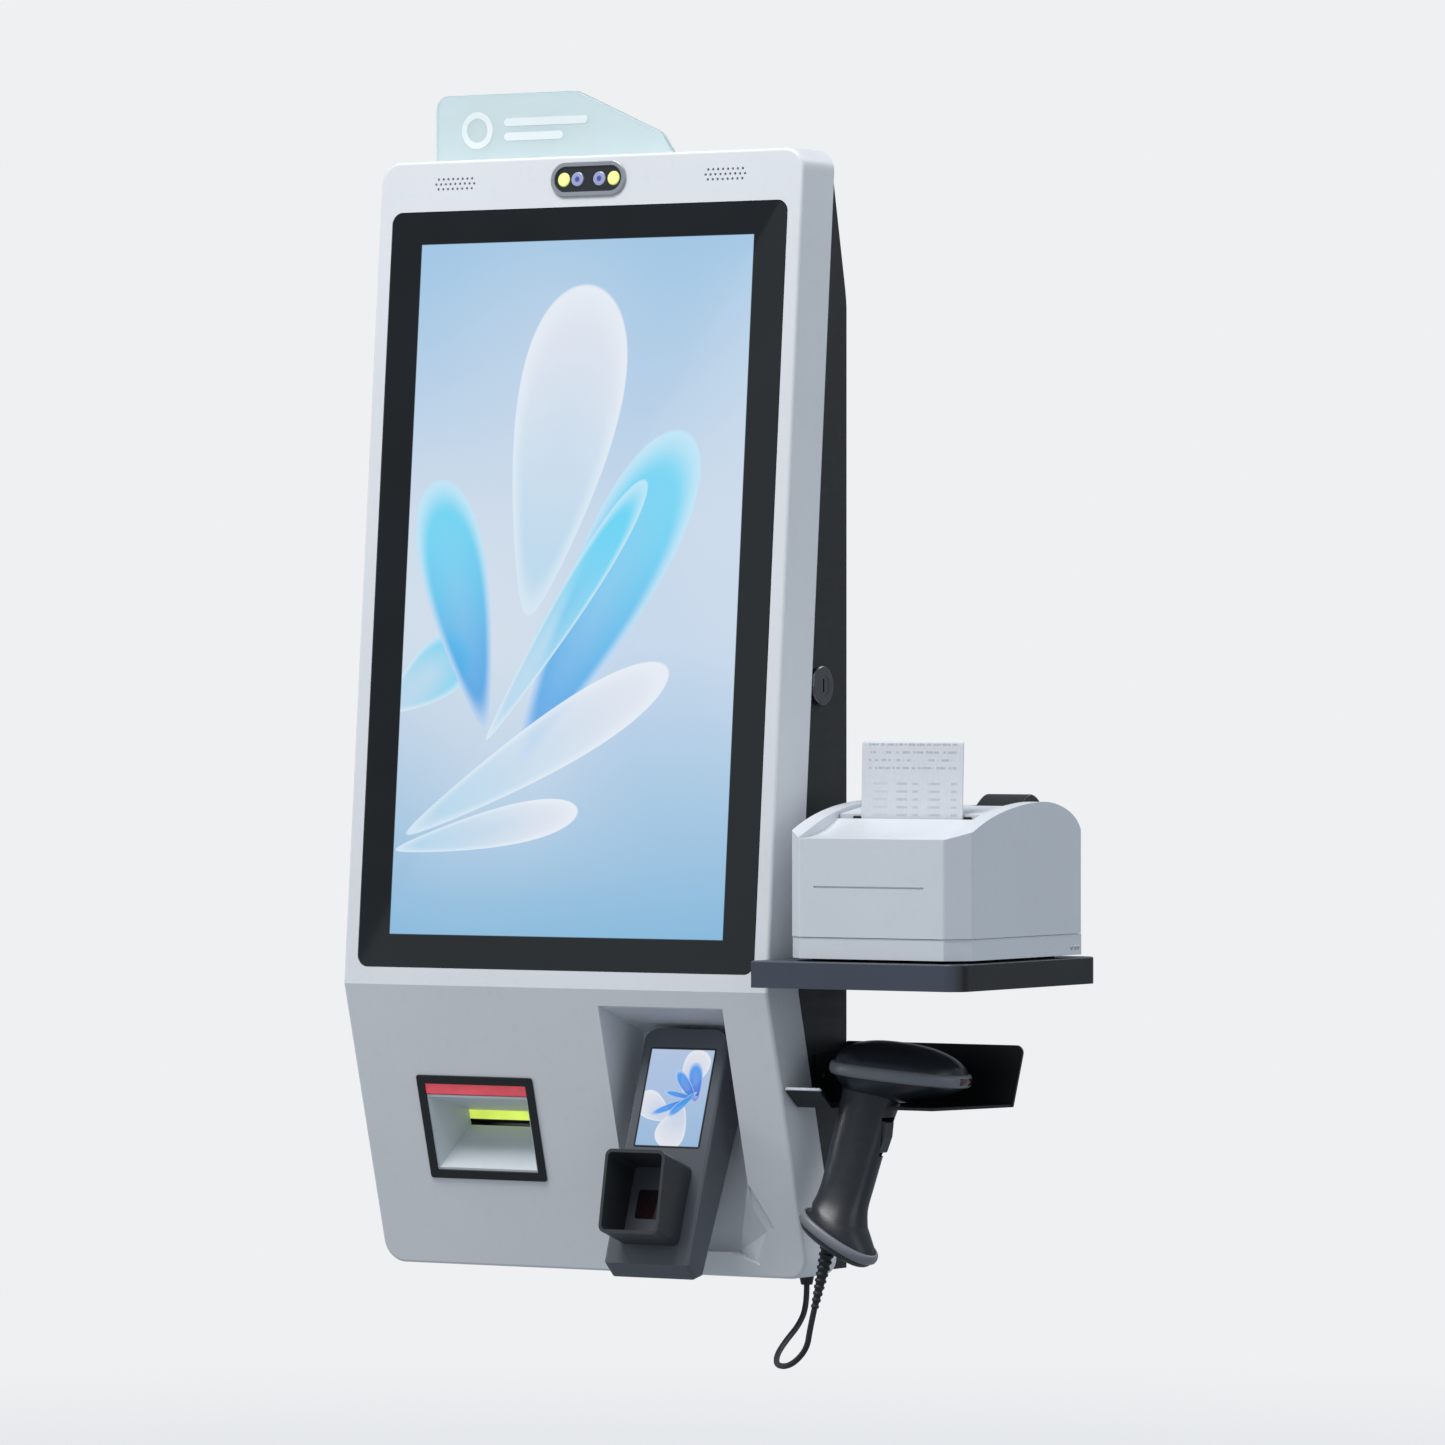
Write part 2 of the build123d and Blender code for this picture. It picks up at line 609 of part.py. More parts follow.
with BuildPart() as terminal_bracket:
    with BuildSketch(across(TERMINAL_X)):
        Polygon(
            yz(-59, -50), yz(RECESS_BACK, -46), yz(RECESS_BACK, -120), yz(-53, -120), yz(-59, -86),
            align=None,
        )
    extrude(amount=18, both=True)
    with BuildSketch(upright(RECESS_BACK)):
        with Locations((TERMINAL_X, CHIN_Z - 80)):
            Rectangle(14, 30)
    extrude(amount=12, mode=Mode.SUBTRACT)
terminal_bracket.part.label = "terminal_bracket"
export_step(terminal_bracket.part, "parts/terminal_bracket.step")

# ---------------------------------------------------------------- cabinet
CABINET_TOP, CABINET_FOOT = 548.0, -190.0
LOCK_Y, LOCK_Z = -39.5, 205.0
GLAND_X, GLAND_Y = 140.0, -9.3
GLAND_R = 6.0
INLET_X, INLET_Z = -95.0, -120.0
BRACKET_HALF = 122.0
BRACKET_WALL = 3.0
WALL_SPACING = 200.0
WALL_HOLE_R = 3.5
FIX_HALF = 60.0            # cabinet-to-bracket screws, half their spacing
FIX_HOLE_R = 2.6
SHELF_SCREWS = [(-55.0, 13.5), (-35.0, 13.5), (-15.0, 13.5)]
HOLDER_SCREWS = [(-36.0, -58.0), (-12.0, -58.0)]
SIDE_HOLE_R = 2.15


def cabinet_outline(inset):
    """Side outline of the cabinet, moved in by the sheet's thickness except at its open front."""
    high, low = CABINET_TOP - inset, CABINET_FOOT + inset
    front = SHELL_DEPTH + DOOR_GAP
    return [
        (front_y(CHIN_Z + high) + front, CHIN_Z + high),
        (CHIN_Y + front, CHIN_Z),
        (front_y(CHIN_Z + low) + front, CHIN_Z + low),
        yz(-inset, low),
        yz(-inset, 453 - inset / 2),
        yz(-3.6 - inset, 474 - inset / 2),
        yz(-19.5 - inset, high),
    ]


with BuildPart() as cabinet_hollow:
    with BuildSketch(Plane.YZ):
        Polygon(*cabinet_outline(RIM_WALL), align=None)
        # the front stays open
        Polygon(
            (front_y(CHIN_Z + CABINET_TOP - RIM_WALL) + 30, CHIN_Z + CABINET_TOP - RIM_WALL),
            (CHIN_Y + 30, CHIN_Z),
            (front_y(CHIN_Z + CABINET_FOOT + RIM_WALL) + 30, CHIN_Z + CABINET_FOOT + RIM_WALL),
            (front_y(CHIN_Z + CABINET_FOOT + RIM_WALL) + 43, CHIN_Z + CABINET_FOOT + RIM_WALL),
            (CHIN_Y + 43, CHIN_Z),
            (front_y(CHIN_Z + CABINET_TOP - RIM_WALL) + 41.2, CHIN_Z + CABINET_TOP - RIM_WALL),
            align=None,
        )
    extrude(amount=CABINET_HALF - RIM_WALL, both=True)

with BuildPart() as rear_housing:
    with BuildSketch(Plane.YZ):
        Polygon(*cabinet_outline(0), align=None)
    extrude(amount=CABINET_HALF, both=True)
    fillet(rear_housing.edges().filter_by(Axis.Z).group_by(Axis.Y)[-1], 2.5)
    add(cabinet_hollow.part, mode=Mode.SUBTRACT)
    # holes in the back sheet: bracket screws, power inlet, ventilation
    with BuildSketch(Plane.XZ.offset(-BACK_Y)):
        with GridLocations(2 * FIX_HALF, 2 * FIX_HALF, 2, 2):
            Circle(FIX_HOLE_R)
        with Locations((INLET_X, CHIN_Z + INLET_Z)):
            Rectangle(28, 20)
        with Locations((0, CHIN_Z + 400)):
            with GridLocations(50, 8, 4, 7):
                SlotOverall(40, 3)
        with Locations((0, CHIN_Z - 60)):
            with GridLocations(50, 8, 4, 7):
                SlotOverall(40, 3)
    extrude(amount=6, both=True, mode=Mode.SUBTRACT)
    with BuildSketch(level(CABINET_FOOT)):
        with Locations((GLAND_X, BACK_Y + GLAND_Y)):
            Circle(GLAND_R - 1.4)
    extrude(amount=5, mode=Mode.SUBTRACT)
    # holes in the right side: lock, shelf screws, holder screws
    with BuildSketch(across(CABINET_HALF)):
        with Locations(yz(LOCK_Y, LOCK_Z)):
            Circle(9.6)
        with Locations(*[yz(*place) for place in SHELF_SCREWS + HOLDER_SCREWS]):
            Circle(SIDE_HOLE_R)
    extrude(amount=-5, mode=Mode.SUBTRACT)
rear_housing.part.label = "rear_housing"
export_step(rear_housing.part, "parts/rear_housing.step")

with BuildPart() as wall_bracket:
    with BuildSketch(Plane.XY.offset(-BRACKET_HALF)):
        with Locations((0, BACK_Y / 2)):
            Rectangle(2 * BRACKET_HALF, WALL_GAP)
            Rectangle(2 * (BRACKET_HALF - BRACKET_WALL), WALL_GAP - 2 * BRACKET_WALL, mode=Mode.SUBTRACT)
    extrude(amount=2 * BRACKET_HALF)
    with BuildSketch(Plane.XZ):
        with GridLocations(WALL_SPACING, WALL_SPACING, 2, 2):
            Circle(WALL_HOLE_R)
        RectangleRounded(90, 90, 12)
    extrude(amount=BRACKET_WALL, mode=Mode.SUBTRACT)
    with BuildSketch(Plane.XZ.offset(WALL_GAP)):
        with GridLocations(2 * FIX_HALF, 2 * FIX_HALF, 2, 2):
            Circle(FIX_HOLE_R)
        RectangleRounded(90, 90, 12)
    extrude(amount=-BRACKET_WALL, mode=Mode.SUBTRACT)
wall_bracket.part.label = "wall_bracket"
export_step(wall_bracket.part, "parts/wall_bracket.step")

with BuildPart() as bracket_screws:
    with BuildSketch(upright(-RIM_WALL)):
        with GridLocations(2 * FIX_HALF, 2 * FIX_HALF, 2, 2):
            Circle(5)
    extrude(amount=3)
    fillet(bracket_screws.edges().group_by(Axis.Y)[0], 1)
    with BuildSketch(upright(-RIM_WALL)):
        with GridLocations(2 * FIX_HALF, 2 * FIX_HALF, 2, 2):
            Circle(2.5)
    extrude(amount=-10)
bracket_screws.part.label = "bracket_screws"
export_step(bracket_screws.part, "parts/bracket_screws.step")

with BuildPart() as side_screws:
    with BuildSketch(across(CABINET_HALF - RIM_WALL)):
        with Locations(*[yz(*place) for place in SHELF_SCREWS + HOLDER_SCREWS]):
            Circle(4)
    extrude(amount=-2.6)
    with BuildSketch(across(CABINET_HALF - RIM_WALL)):
        with Locations(*[yz(*place) for place in SHELF_SCREWS]):
            Circle(2)
    extrude(amount=5.5)
    with BuildSketch(across(CABINET_HALF - RIM_WALL)):
        with Locations(*[yz(*place) for place in HOLDER_SCREWS]):
            Circle(2)
    extrude(amount=3.3)
side_screws.part.label = "side_screws"
export_step(side_screws.part, "parts/side_screws.step")

# ---------------------------------------------------------------- electronics
BOARD_SIZE = 170.0
BOARD_Z = 365.0
STANDOFF_TALL = 8.0
SUPPLY = (110.0, 38.0, 130.0)
SUPPLY_X, SUPPLY_Z = -95.0, 20.0

with BuildPart() as standoffs:
    with BuildSketch(upright(-RIM_WALL)):
        with Locations((0, CHIN_Z + BOARD_Z)):
            with GridLocations(BOARD_SIZE - 16, BOARD_SIZE - 16, 2, 2):
                RegularPolygon(3.2, 6)
    extrude(amount=STANDOFF_TALL)
standoffs.part.label = "standoffs"
export_step(standoffs.part, "parts/standoffs.step")

with BuildPart() as mainboard:
    with BuildSketch(upright(-RIM_WALL - STANDOFF_TALL)):
        with Locations((0, CHIN_Z + BOARD_Z)):
            Rectangle(BOARD_SIZE, BOARD_SIZE)
    extrude(amount=1.6)
    with BuildSketch(upright(-RIM_WALL - STANDOFF_TALL - 1.6)):
        with Locations((10, CHIN_Z + BOARD_Z + 10)):
            Rectangle(48, 48)
        with Locations((-50, CHIN_Z + BOARD_Z)):
            Rectangle(14, 120)
        with Locations((10, CHIN_Z + BOARD_Z - 60)):
            Rectangle(90, 18)
    extrude(amount=9)
mainboard.part.label = "mainboard"
export_step(mainboard.part, "parts/mainboard.step")

with BuildPart() as power_supply:
    with BuildSketch(upright(-RIM_WALL)):
        with Locations((SUPPLY_X, CHIN_Z + SUPPLY_Z)):
            RectangleRounded(SUPPLY[0], SUPPLY[2], 2)
    extrude(amount=SUPPLY[1])
power_supply.part.label = "power_supply"
export_step(power_supply.part, "parts/power_supply.step")

with BuildPart() as power_inlet:
    with BuildSketch(upright(0)):
        with Locations((INLET_X, CHIN_Z + INLET_Z)):
            RectangleRounded(48, 24, 3)
    extrude(amount=-2)
    with BuildSketch(upright(0)):
        with Locations((INLET_X, CHIN_Z + INLET_Z)):
            Rectangle(27.4, 19.4)
    extrude(amount=16)
    with BuildSketch(upright(2)):
        with Locations((INLET_X, CHIN_Z + INLET_Z)):
            Rectangle(24, 16)
    extrude(amount=14, mode=Mode.SUBTRACT)
power_inlet.part.label = "power_inlet"
export_step(power_inlet.part, "parts/power_inlet.step")

with BuildPart() as cable_gland:
    with BuildSketch(level(CABINET_FOOT)):
        with Locations((GLAND_X, BACK_Y + GLAND_Y)):
            RegularPolygon(GLAND_R + 0.6, 6)
    extrude(amount=-5)
    with BuildSketch(level(CABINET_FOOT - 5)):
        with Locations((GLAND_X, BACK_Y + GLAND_Y)):
            Circle(GLAND_R - 0.6)
    extrude(amount=-7, taper=12)
    with BuildSketch(level(CABINET_FOOT)):
        with Locations((GLAND_X, BACK_Y + GLAND_Y)):
            Circle(GLAND_R - 1.6)
    extrude(amount=8)
cable_gland.part.label = "cable_gland"
export_step(cable_gland.part, "parts/cable_gland.step")

# ---------------------------------------------------------------- door lock
PLUG_R = 7.0
CAM_X = 150.0
CAM_REACH = 26.0

with BuildPart() as lock_barrel:
    with BuildSketch(across(CABINET_HALF)):
        with Locations(yz(LOCK_Y, LOCK_Z)):
            Circle(13.5)
    extrude(amount=4.5)
    fillet(lock_barrel.edges().group_by(Axis.X)[-1], 1.5)
    with BuildSketch(across(CABINET_HALF)):
        with Locations(yz(LOCK_Y, LOCK_Z)):
            Circle(9.4)
    extrude(amount=-14)
    with BuildSketch(across(CABINET_HALF - RIM_WALL)):
        with Locations(yz(LOCK_Y, LOCK_Z)):
            RegularPolygon(12.5, 6)
    extrude(amount=-4)
    with BuildSketch(across(CABINET_HALF - 20)):
        with Locations(yz(LOCK_Y, LOCK_Z)):
            Circle(PLUG_R + RUN_FIT)
    extrude(amount=30, mode=Mode.SUBTRACT)
lock_barrel.part.label = "lock_barrel"
export_step(lock_barrel.part, "parts/lock_barrel.step")

with BuildPart() as lock_plug:
    with BuildSketch(across(CAM_X + 2)):
        with Locations(yz(LOCK_Y, LOCK_Z)):
            Circle(PLUG_R)
    extrude(amount=CABINET_HALF + 4.3 - CAM_X - 2)
    with BuildSketch(across(CABINET_HALF + 4.3)):
        with Locations(yz(LOCK_Y, LOCK_Z)):
            Rectangle(1.6, 9)
    extrude(amount=-5, mode=Mode.SUBTRACT)
    with BuildSketch(across(CAM_X + 2)):
        with Locations(yz(LOCK_Y, LOCK_Z)):
            Rectangle(6, 6)
    extrude(amount=-4)
lock_plug.part.label = "lock_plug"
export_step(lock_plug.part, "parts/lock_plug.step")

with BuildPart() as lock_cam:
    with BuildSketch(across(CAM_X)):
        with Locations(yz(LOCK_Y - CAM_REACH / 2, LOCK_Z)):
            SlotOverall(CAM_REACH + 14, 14)
        with Locations(yz(LOCK_Y, LOCK_Z)):
            Rectangle(6.2, 6.2, mode=Mode.SUBTRACT)
    extrude(amount=2)
lock_cam.part.label = "lock_cam"
export_step(lock_cam.part, "parts/lock_cam.step")

with BuildPart() as lock_strike:
    foot_y = front_y(CHIN_Z + LOCK_Z + 14) - BACK_Y + SHELL_DEPTH - RIM_WALL - 0.1
    with BuildSketch(level(LOCK_Z + 14)):
        Polygon(
            (165, BACK_Y + foot_y),
            (165, BACK_Y + foot_y - 2),
            (156, BACK_Y + foot_y - 2),
            (156, BACK_Y - 30),
            (148.5, BACK_Y - 30),
            (148.5, BACK_Y - 26),
            (158, BACK_Y - 26),
            (158, BACK_Y + foot_y),
            align=None,
        )
    extrude(amount=14)
lock_strike.part.label = "lock_strike"
export_step(lock_strike.part, "parts/lock_strike.step")

# ---------------------------------------------------------------- door hinges
HINGE_X, HINGE_Y = -173.7, -20.0
KNUCKLE_R, PIN_R = 3.2, 1.8
HINGE_TALL = 36.0
HINGES = [500.0, -172.0]   # lower end of each hinge, from the crease
KNUCKLE = HINGE_TALL / 3

with BuildPart() as hinge_leaves_fixed:
    for foot in HINGES:
        with BuildSketch(level(foot)):
            with Locations((-CABINET_HALF - 0.75, BACK_Y - 10.5)):
                Rectangle(1.5, 13)
        extrude(amount=HINGE_TALL)
        for part_foot in (foot, foot + 2 * KNUCKLE):
            with BuildSketch(level(part_foot)):
                with Locations((HINGE_X, BACK_Y + HINGE_Y)):
                    Circle(KNUCKLE_R)
                Polygon(
                    (HINGE_X - 1, BACK_Y + HINGE_Y + 1),
                    (-CABINET_HALF, BACK_Y + HINGE_Y + 4),
                    (-CABINET_HALF, BACK_Y + HINGE_Y + 6.5),
                    (HINGE_X - 2, BACK_Y + HINGE_Y + 2.4),
                    align=None,
                )
            extrude(amount=KNUCKLE)
            with BuildSketch(level(part_foot)):
                with Locations((HINGE_X, BACK_Y + HINGE_Y)):
                    Circle(PIN_R)
            extrude(amount=KNUCKLE, mode=Mode.SUBTRACT)
hinge_leaves_fixed.part.label = "hinge_leaves_fixed"
export_step(hinge_leaves_fixed.part, "parts/hinge_leaves_fixed.step")

with BuildPart() as hinge_leaves_door:
    for foot in HINGES:
        with BuildSketch(level(foot)):
            with Locations((-SHELL_WIDTH / 2 - 0.75, BACK_Y - 35)):
                Rectangle(1.5, 18)
        extrude(amount=HINGE_TALL)
        with BuildSketch(level(foot + KNUCKLE + 0.2)):
            with Locations((HINGE_X, BACK_Y + HINGE_Y)):
                Circle(KNUCKLE_R)
            Polygon(
                (HINGE_X - KNUCKLE_R, BACK_Y + HINGE_Y),
                (HINGE_X, BACK_Y + HINGE_Y + 1),
                (-SHELL_WIDTH / 2 - 0.1, BACK_Y + HINGE_Y - 6.5),
                (-SHELL_WIDTH / 2 - 1.5, BACK_Y + HINGE_Y - 9),
                align=None,
            )
        extrude(amount=KNUCKLE - 0.4)
        with BuildSketch(level(foot)):
            with Locations((HINGE_X, BACK_Y + HINGE_Y)):
                Circle(PIN_R + RUN_FIT)
        extrude(amount=HINGE_TALL, mode=Mode.SUBTRACT)
hinge_leaves_door.part.label = "hinge_leaves_door"
export_step(hinge_leaves_door.part, "parts/hinge_leaves_door.step")

with BuildPart() as hinge_pins:
    for foot in HINGES:
        with BuildSketch(level(foot)):
            with Locations((HINGE_X, BACK_Y + HINGE_Y)):
                Circle(PIN_R)
        extrude(amount=HINGE_TALL + 1)
hinge_pins.part.label = "hinge_pins"
export_step(hinge_pins.part, "parts/hinge_pins.step")

# ---------------------------------------------------------------- shelf
SHELF_LEFT, SHELF_RIGHT = 172.0, 331.6
SHELF_FRONT, SHELF_REAR = -135.2, 55.0
SHELF_FOOT, SHELF_TOP = 4.5, 22.5
SHELF_SHEET = 2.0
SHELF_CORNER = 12.0

with BuildPart() as printer_shelf:
    with BuildSketch(level(SHELF_FOOT)):
        with Locations((SHELF_LEFT, BACK_Y + SHELF_FRONT)):
            Rectangle(SHELF_RIGHT - SHELF_LEFT, SHELF_REAR - SHELF_FRONT, align=(Align.MIN, Align.MIN))
    extrude(amount=SHELF_TOP - SHELF_FOOT)
    corners = printer_shelf.edges().filter_by(Axis.Z)
    fillet(corners.group_by(Axis.X)[-1], SHELF_CORNER)
    fillet(printer_shelf.faces().sort_by(Axis.Z)[-1].edges(), 1.2)
    with BuildSketch(level(SHELF_FOOT)) as shelf_hollow:
        with Locations((SHELF_LEFT + SHELF_SHEET, BACK_Y + SHELF_FRONT + SHELF_SHEET)):
            Rectangle(
                SHELF_RIGHT - SHELF_LEFT - 2 * SHELF_SHEET,
                SHELF_REAR - SHELF_FRONT - 2 * SHELF_SHEET,
                align=(Align.MIN, Align.MIN),
            )
        fillet(shelf_hollow.vertices().group_by(Axis.X)[-1], SHELF_CORNER - SHELF_SHEET)
    extrude(amount=SHELF_TOP - SHELF_FOOT - SHELF_SHEET, mode=Mode.SUBTRACT)
    # the block that bolts to the cabinet's side
    with BuildSketch(level(SHELF_FOOT)):
        with Locations(((CABINET_HALF + SHELF_LEFT) / 2, BACK_Y - 35)):
            Rectangle(SHELF_LEFT - CABINET_HALF, 62)
    extrude(amount=SHELF_TOP - SHELF_FOOT)
    with BuildSketch(across(CABINET_HALF)):
        with Locations(*[yz(*place) for place in SHELF_SCREWS]):
            Circle(2.05)
    extrude(amount=4.2, mode=Mode.SUBTRACT)
printer_shelf.part.label = "printer_shelf"
export_step(printer_shelf.part, "parts/printer_shelf.step")

# ---------------------------------------------------------------- scanner holder
HOLDER_FOOT = -77.6
HOLDER_SHEET = 2.0
SLOT_LEFT, SLOT_RIGHT, SLOT_END = 198.5, 244.0, -45.5
HOLDER_FRONT = -74.0
LIP_TOP = -65.0

with BuildPart() as scanner_holder:
    with BuildSketch(level(HOLDER_FOOT)):
        Polygon(
            (CABINET_HALF, BACK_Y),
            (CABINET_HALF, BACK_Y - 46),
            (SHELF_LEFT, BACK_Y - 46),
            (SHELF_LEFT, BACK_Y + HOLDER_FRONT),
            (SLOT_LEFT, BACK_Y + HOLDER_FRONT),
            (SLOT_LEFT, BACK_Y + SLOT_END),
            (SLOT_RIGHT, BACK_Y + SLOT_END),
            (SLOT_RIGHT, BACK_Y + HOLDER_FRONT),
            (276, BACK_Y + HOLDER_FRONT),
            (296, BACK_Y),
            align=None,
        )
    extrude(amount=HOLDER_SHEET)
    fillet(scanner_holder.edges().filter_by(Axis.Z).group_by(Axis.Y)[-2], 4)
    # rear wall
    with BuildSketch(upright(0)):
        with BuildLine():
            FilletPolyline(
                (CABINET_HALF, CHIN_Z + HOLDER_FOOT),
                (CABINET_HALF, CHIN_Z - 36),
                (305, CHIN_Z - 36),
                (296, CHIN_Z + HOLDER_FOOT),
                radius=[1.0, 5.0],
            )
            Line((296, CHIN_Z + HOLDER_FOOT), (CABINET_HALF, CHIN_Z + HOLDER_FOOT))
        make_face()
    extrude(amount=HOLDER_SHEET)
    # leaning front lip beside the slot, and the flange on the cabinet's side
    with BuildSketch(across(SHELF_LEFT)):
        Polygon(
            yz(-72.5, HOLDER_FOOT), yz(-75.0, HOLDER_FOOT), yz(-91.5, LIP_TOP), yz(-90, LIP_TOP + 1.4),
            yz(-74, HOLDER_FOOT + 2.4), yz(-72.5, HOLDER_FOOT + 2),
            align=None,
        )
    extrude(amount=SLOT_LEFT - SHELF_LEFT)
    with BuildSketch(across(CABINET_HALF)):
        Polygon(
            yz(0, HOLDER_FOOT), yz(-46, HOLDER_FOOT), yz(-46, -44), yz(0, -40),
            align=None,
        )
    extrude(amount=HOLDER_SHEET)
    with BuildSketch(across(CABINET_HALF)):
        with Locations(*[yz(*place) for place in HOLDER_SCREWS]):
            Circle(2.05)
    extrude(amount=HOLDER_SHEET, mode=Mode.SUBTRACT)
scanner_holder.part.label = "scanner_holder"
export_step(scanner_holder.part, "parts/scanner_holder.step")

# ---------------------------------------------------------------- desktop receipt printer
PRINTER_X = 261.85
PRINTER_W = 138.3
PRINTER_FRONT, PRINTER_REAR = -131.0, 32.0
PRINTER_CUT = 14.0         # cut-off front corners
FEET_TALL = 2.0
BASE_TOP = 38.5
CHEEK_INNER = 57.0         # inner faces of the cover's cheeks, from the printer's middle
SLOT_Y = -79.0             # rear edge of the cover's front ramp
LID_HINGE = yz(21.0, 104.0)
LID_PIN_R = 2.0
LID_SLACK = 0.4
PRINT_ROLL_AT = yz(-22.0, 76.0)
PRINT_ROLL_R = 31.0
PRINT_PLATEN_AT = yz(-71.0, 108.0)
CROWN = [(-131, 104), (-117, 109), (-104, 114), (-70, 123), (-39, 127), (-14, 127.4), (8, 123), (24, 115),
         (32, 104)]


def printer_plan(inset):
    """Plan outline of the printer with its two cut front corners."""
    half = PRINTER_W / 2 - inset
    front, rear = BACK_Y + PRINTER_FRONT + inset, BACK_Y + PRINTER_REAR - inset
    cut = PRINTER_CUT - inset * tan(radians(22.5))
    return [
        (PRINTER_X - half + cut, front),
        (PRINTER_X + half - cut, front),
        (PRINTER_X + half, front + cut),
        (PRINTER_X + half, rear),
        (PRINTER_X - half, rear),
        (PRINTER_X - half, front + cut),
    ]


with BuildPart() as printer_feet:
    with BuildSketch(level(SHELF_TOP)):
        with Locations((PRINTER_X, BACK_Y - 48)):
            with GridLocations(104, 120, 2, 2):
                Circle(6)
    extrude(amount=FEET_TALL)
printer_feet.part.label = "printer_feet"
export_step(printer_feet.part, "parts/printer_feet.step")

with BuildPart() as printer_base:
    with BuildSketch(level(SHELF_TOP + FEET_TALL)):
        Polygon(*printer_plan(0.6), align=None)
    extrude(amount=BASE_TOP - SHELF_TOP - FEET_TALL)
    with BuildSketch(level(SHELF_TOP + FEET_TALL + 3)):
        Polygon(*printer_plan(3.4), align=None)
    extrude(amount=40, mode=Mode.SUBTRACT)
printer_base.part.label = "printer_base"
export_step(printer_base.part, "parts/printer_base.step")

with BuildPart() as printer_cover:
    with BuildSketch(level(BASE_TOP + 0.3)):
        Polygon(*printer_plan(0), align=None)
    extrude(amount=100)
    fillet(printer_cover.edges().filter_by(Axis.Z), 3)
    # crown of the two cheeks
    with BuildSketch(across(PRINTER_X)):
        with BuildLine():
            Line(yz(-140, 0), yz(-140, 104))
            Line(yz(-140, 104), yz(*CROWN[0]))
            Spline(*[yz(*point) for point in CROWN])
            Line(yz(*CROWN[-1]), yz(40, 104))
            Line(yz(40, 104), yz(40, 0))
            Line(yz(40, 0), yz(-140, 0))
        make_face()
    extrude(amount=PRINTER_W, both=True, mode=Mode.INTERSECT)
    # inside
    with BuildSketch(level(BASE_TOP)):
        Polygon(*printer_plan(2.8), align=None)
    extrude(amount=60, mode=Mode.SUBTRACT)
    # ramp in front of the slot, and the opening that the lid covers
    with BuildSketch(across(PRINTER_X)):
        with BuildLine():
            Line(yz(-136, 104.4), yz(PRINTER_FRONT, 104.4))
            Spline(yz(PRINTER_FRONT, 104.4), yz(-105, 106.5), yz(SLOT_Y, 116.5))
            Line(yz(SLOT_Y, 116.5), yz(SLOT_Y, 41))
            Line(yz(SLOT_Y, 41), yz(26, 41))
            Line(yz(26, 41), yz(26, 94))
            Line(yz(26, 94), yz(40, 94))
            Line(yz(40, 94), yz(40, 140))
            Line(yz(40, 140), yz(-136, 140))
            Line(yz(-136, 140), yz(-136, 104.4))
        make_face()
    extrude(amount=CHEEK_INNER, both=True, mode=Mode.SUBTRACT)
    with BuildSketch(across(PRINTER_X)):
        with Locations(LID_HINGE):
            Circle(LID_PIN_R + RUN_FIT)
    extrude(amount=CHEEK_INNER + 5, both=True, mode=Mode.SUBTRACT)
    # parting line across the front
    with BuildSketch(upright(PRINTER_FRONT)):
        with Locations((PRINTER_X - 2, CHIN_Z + 72)):
            Rectangle(84, 1.2)
    extrude(amount=-1.2, mode=Mode.SUBTRACT)
printer_cover.part.label = "printer_cover"
export_step(printer_cover.part, "parts/printer_cover.step")

LEVER_X, LEVER_W = 299.5, 34.0
LEVER_FRONT, LEVER_REAR = -34.0, 5.0
LEVER_PIVOT = yz(2.5, 118.6)
LEVER_PIN_R = 1.0

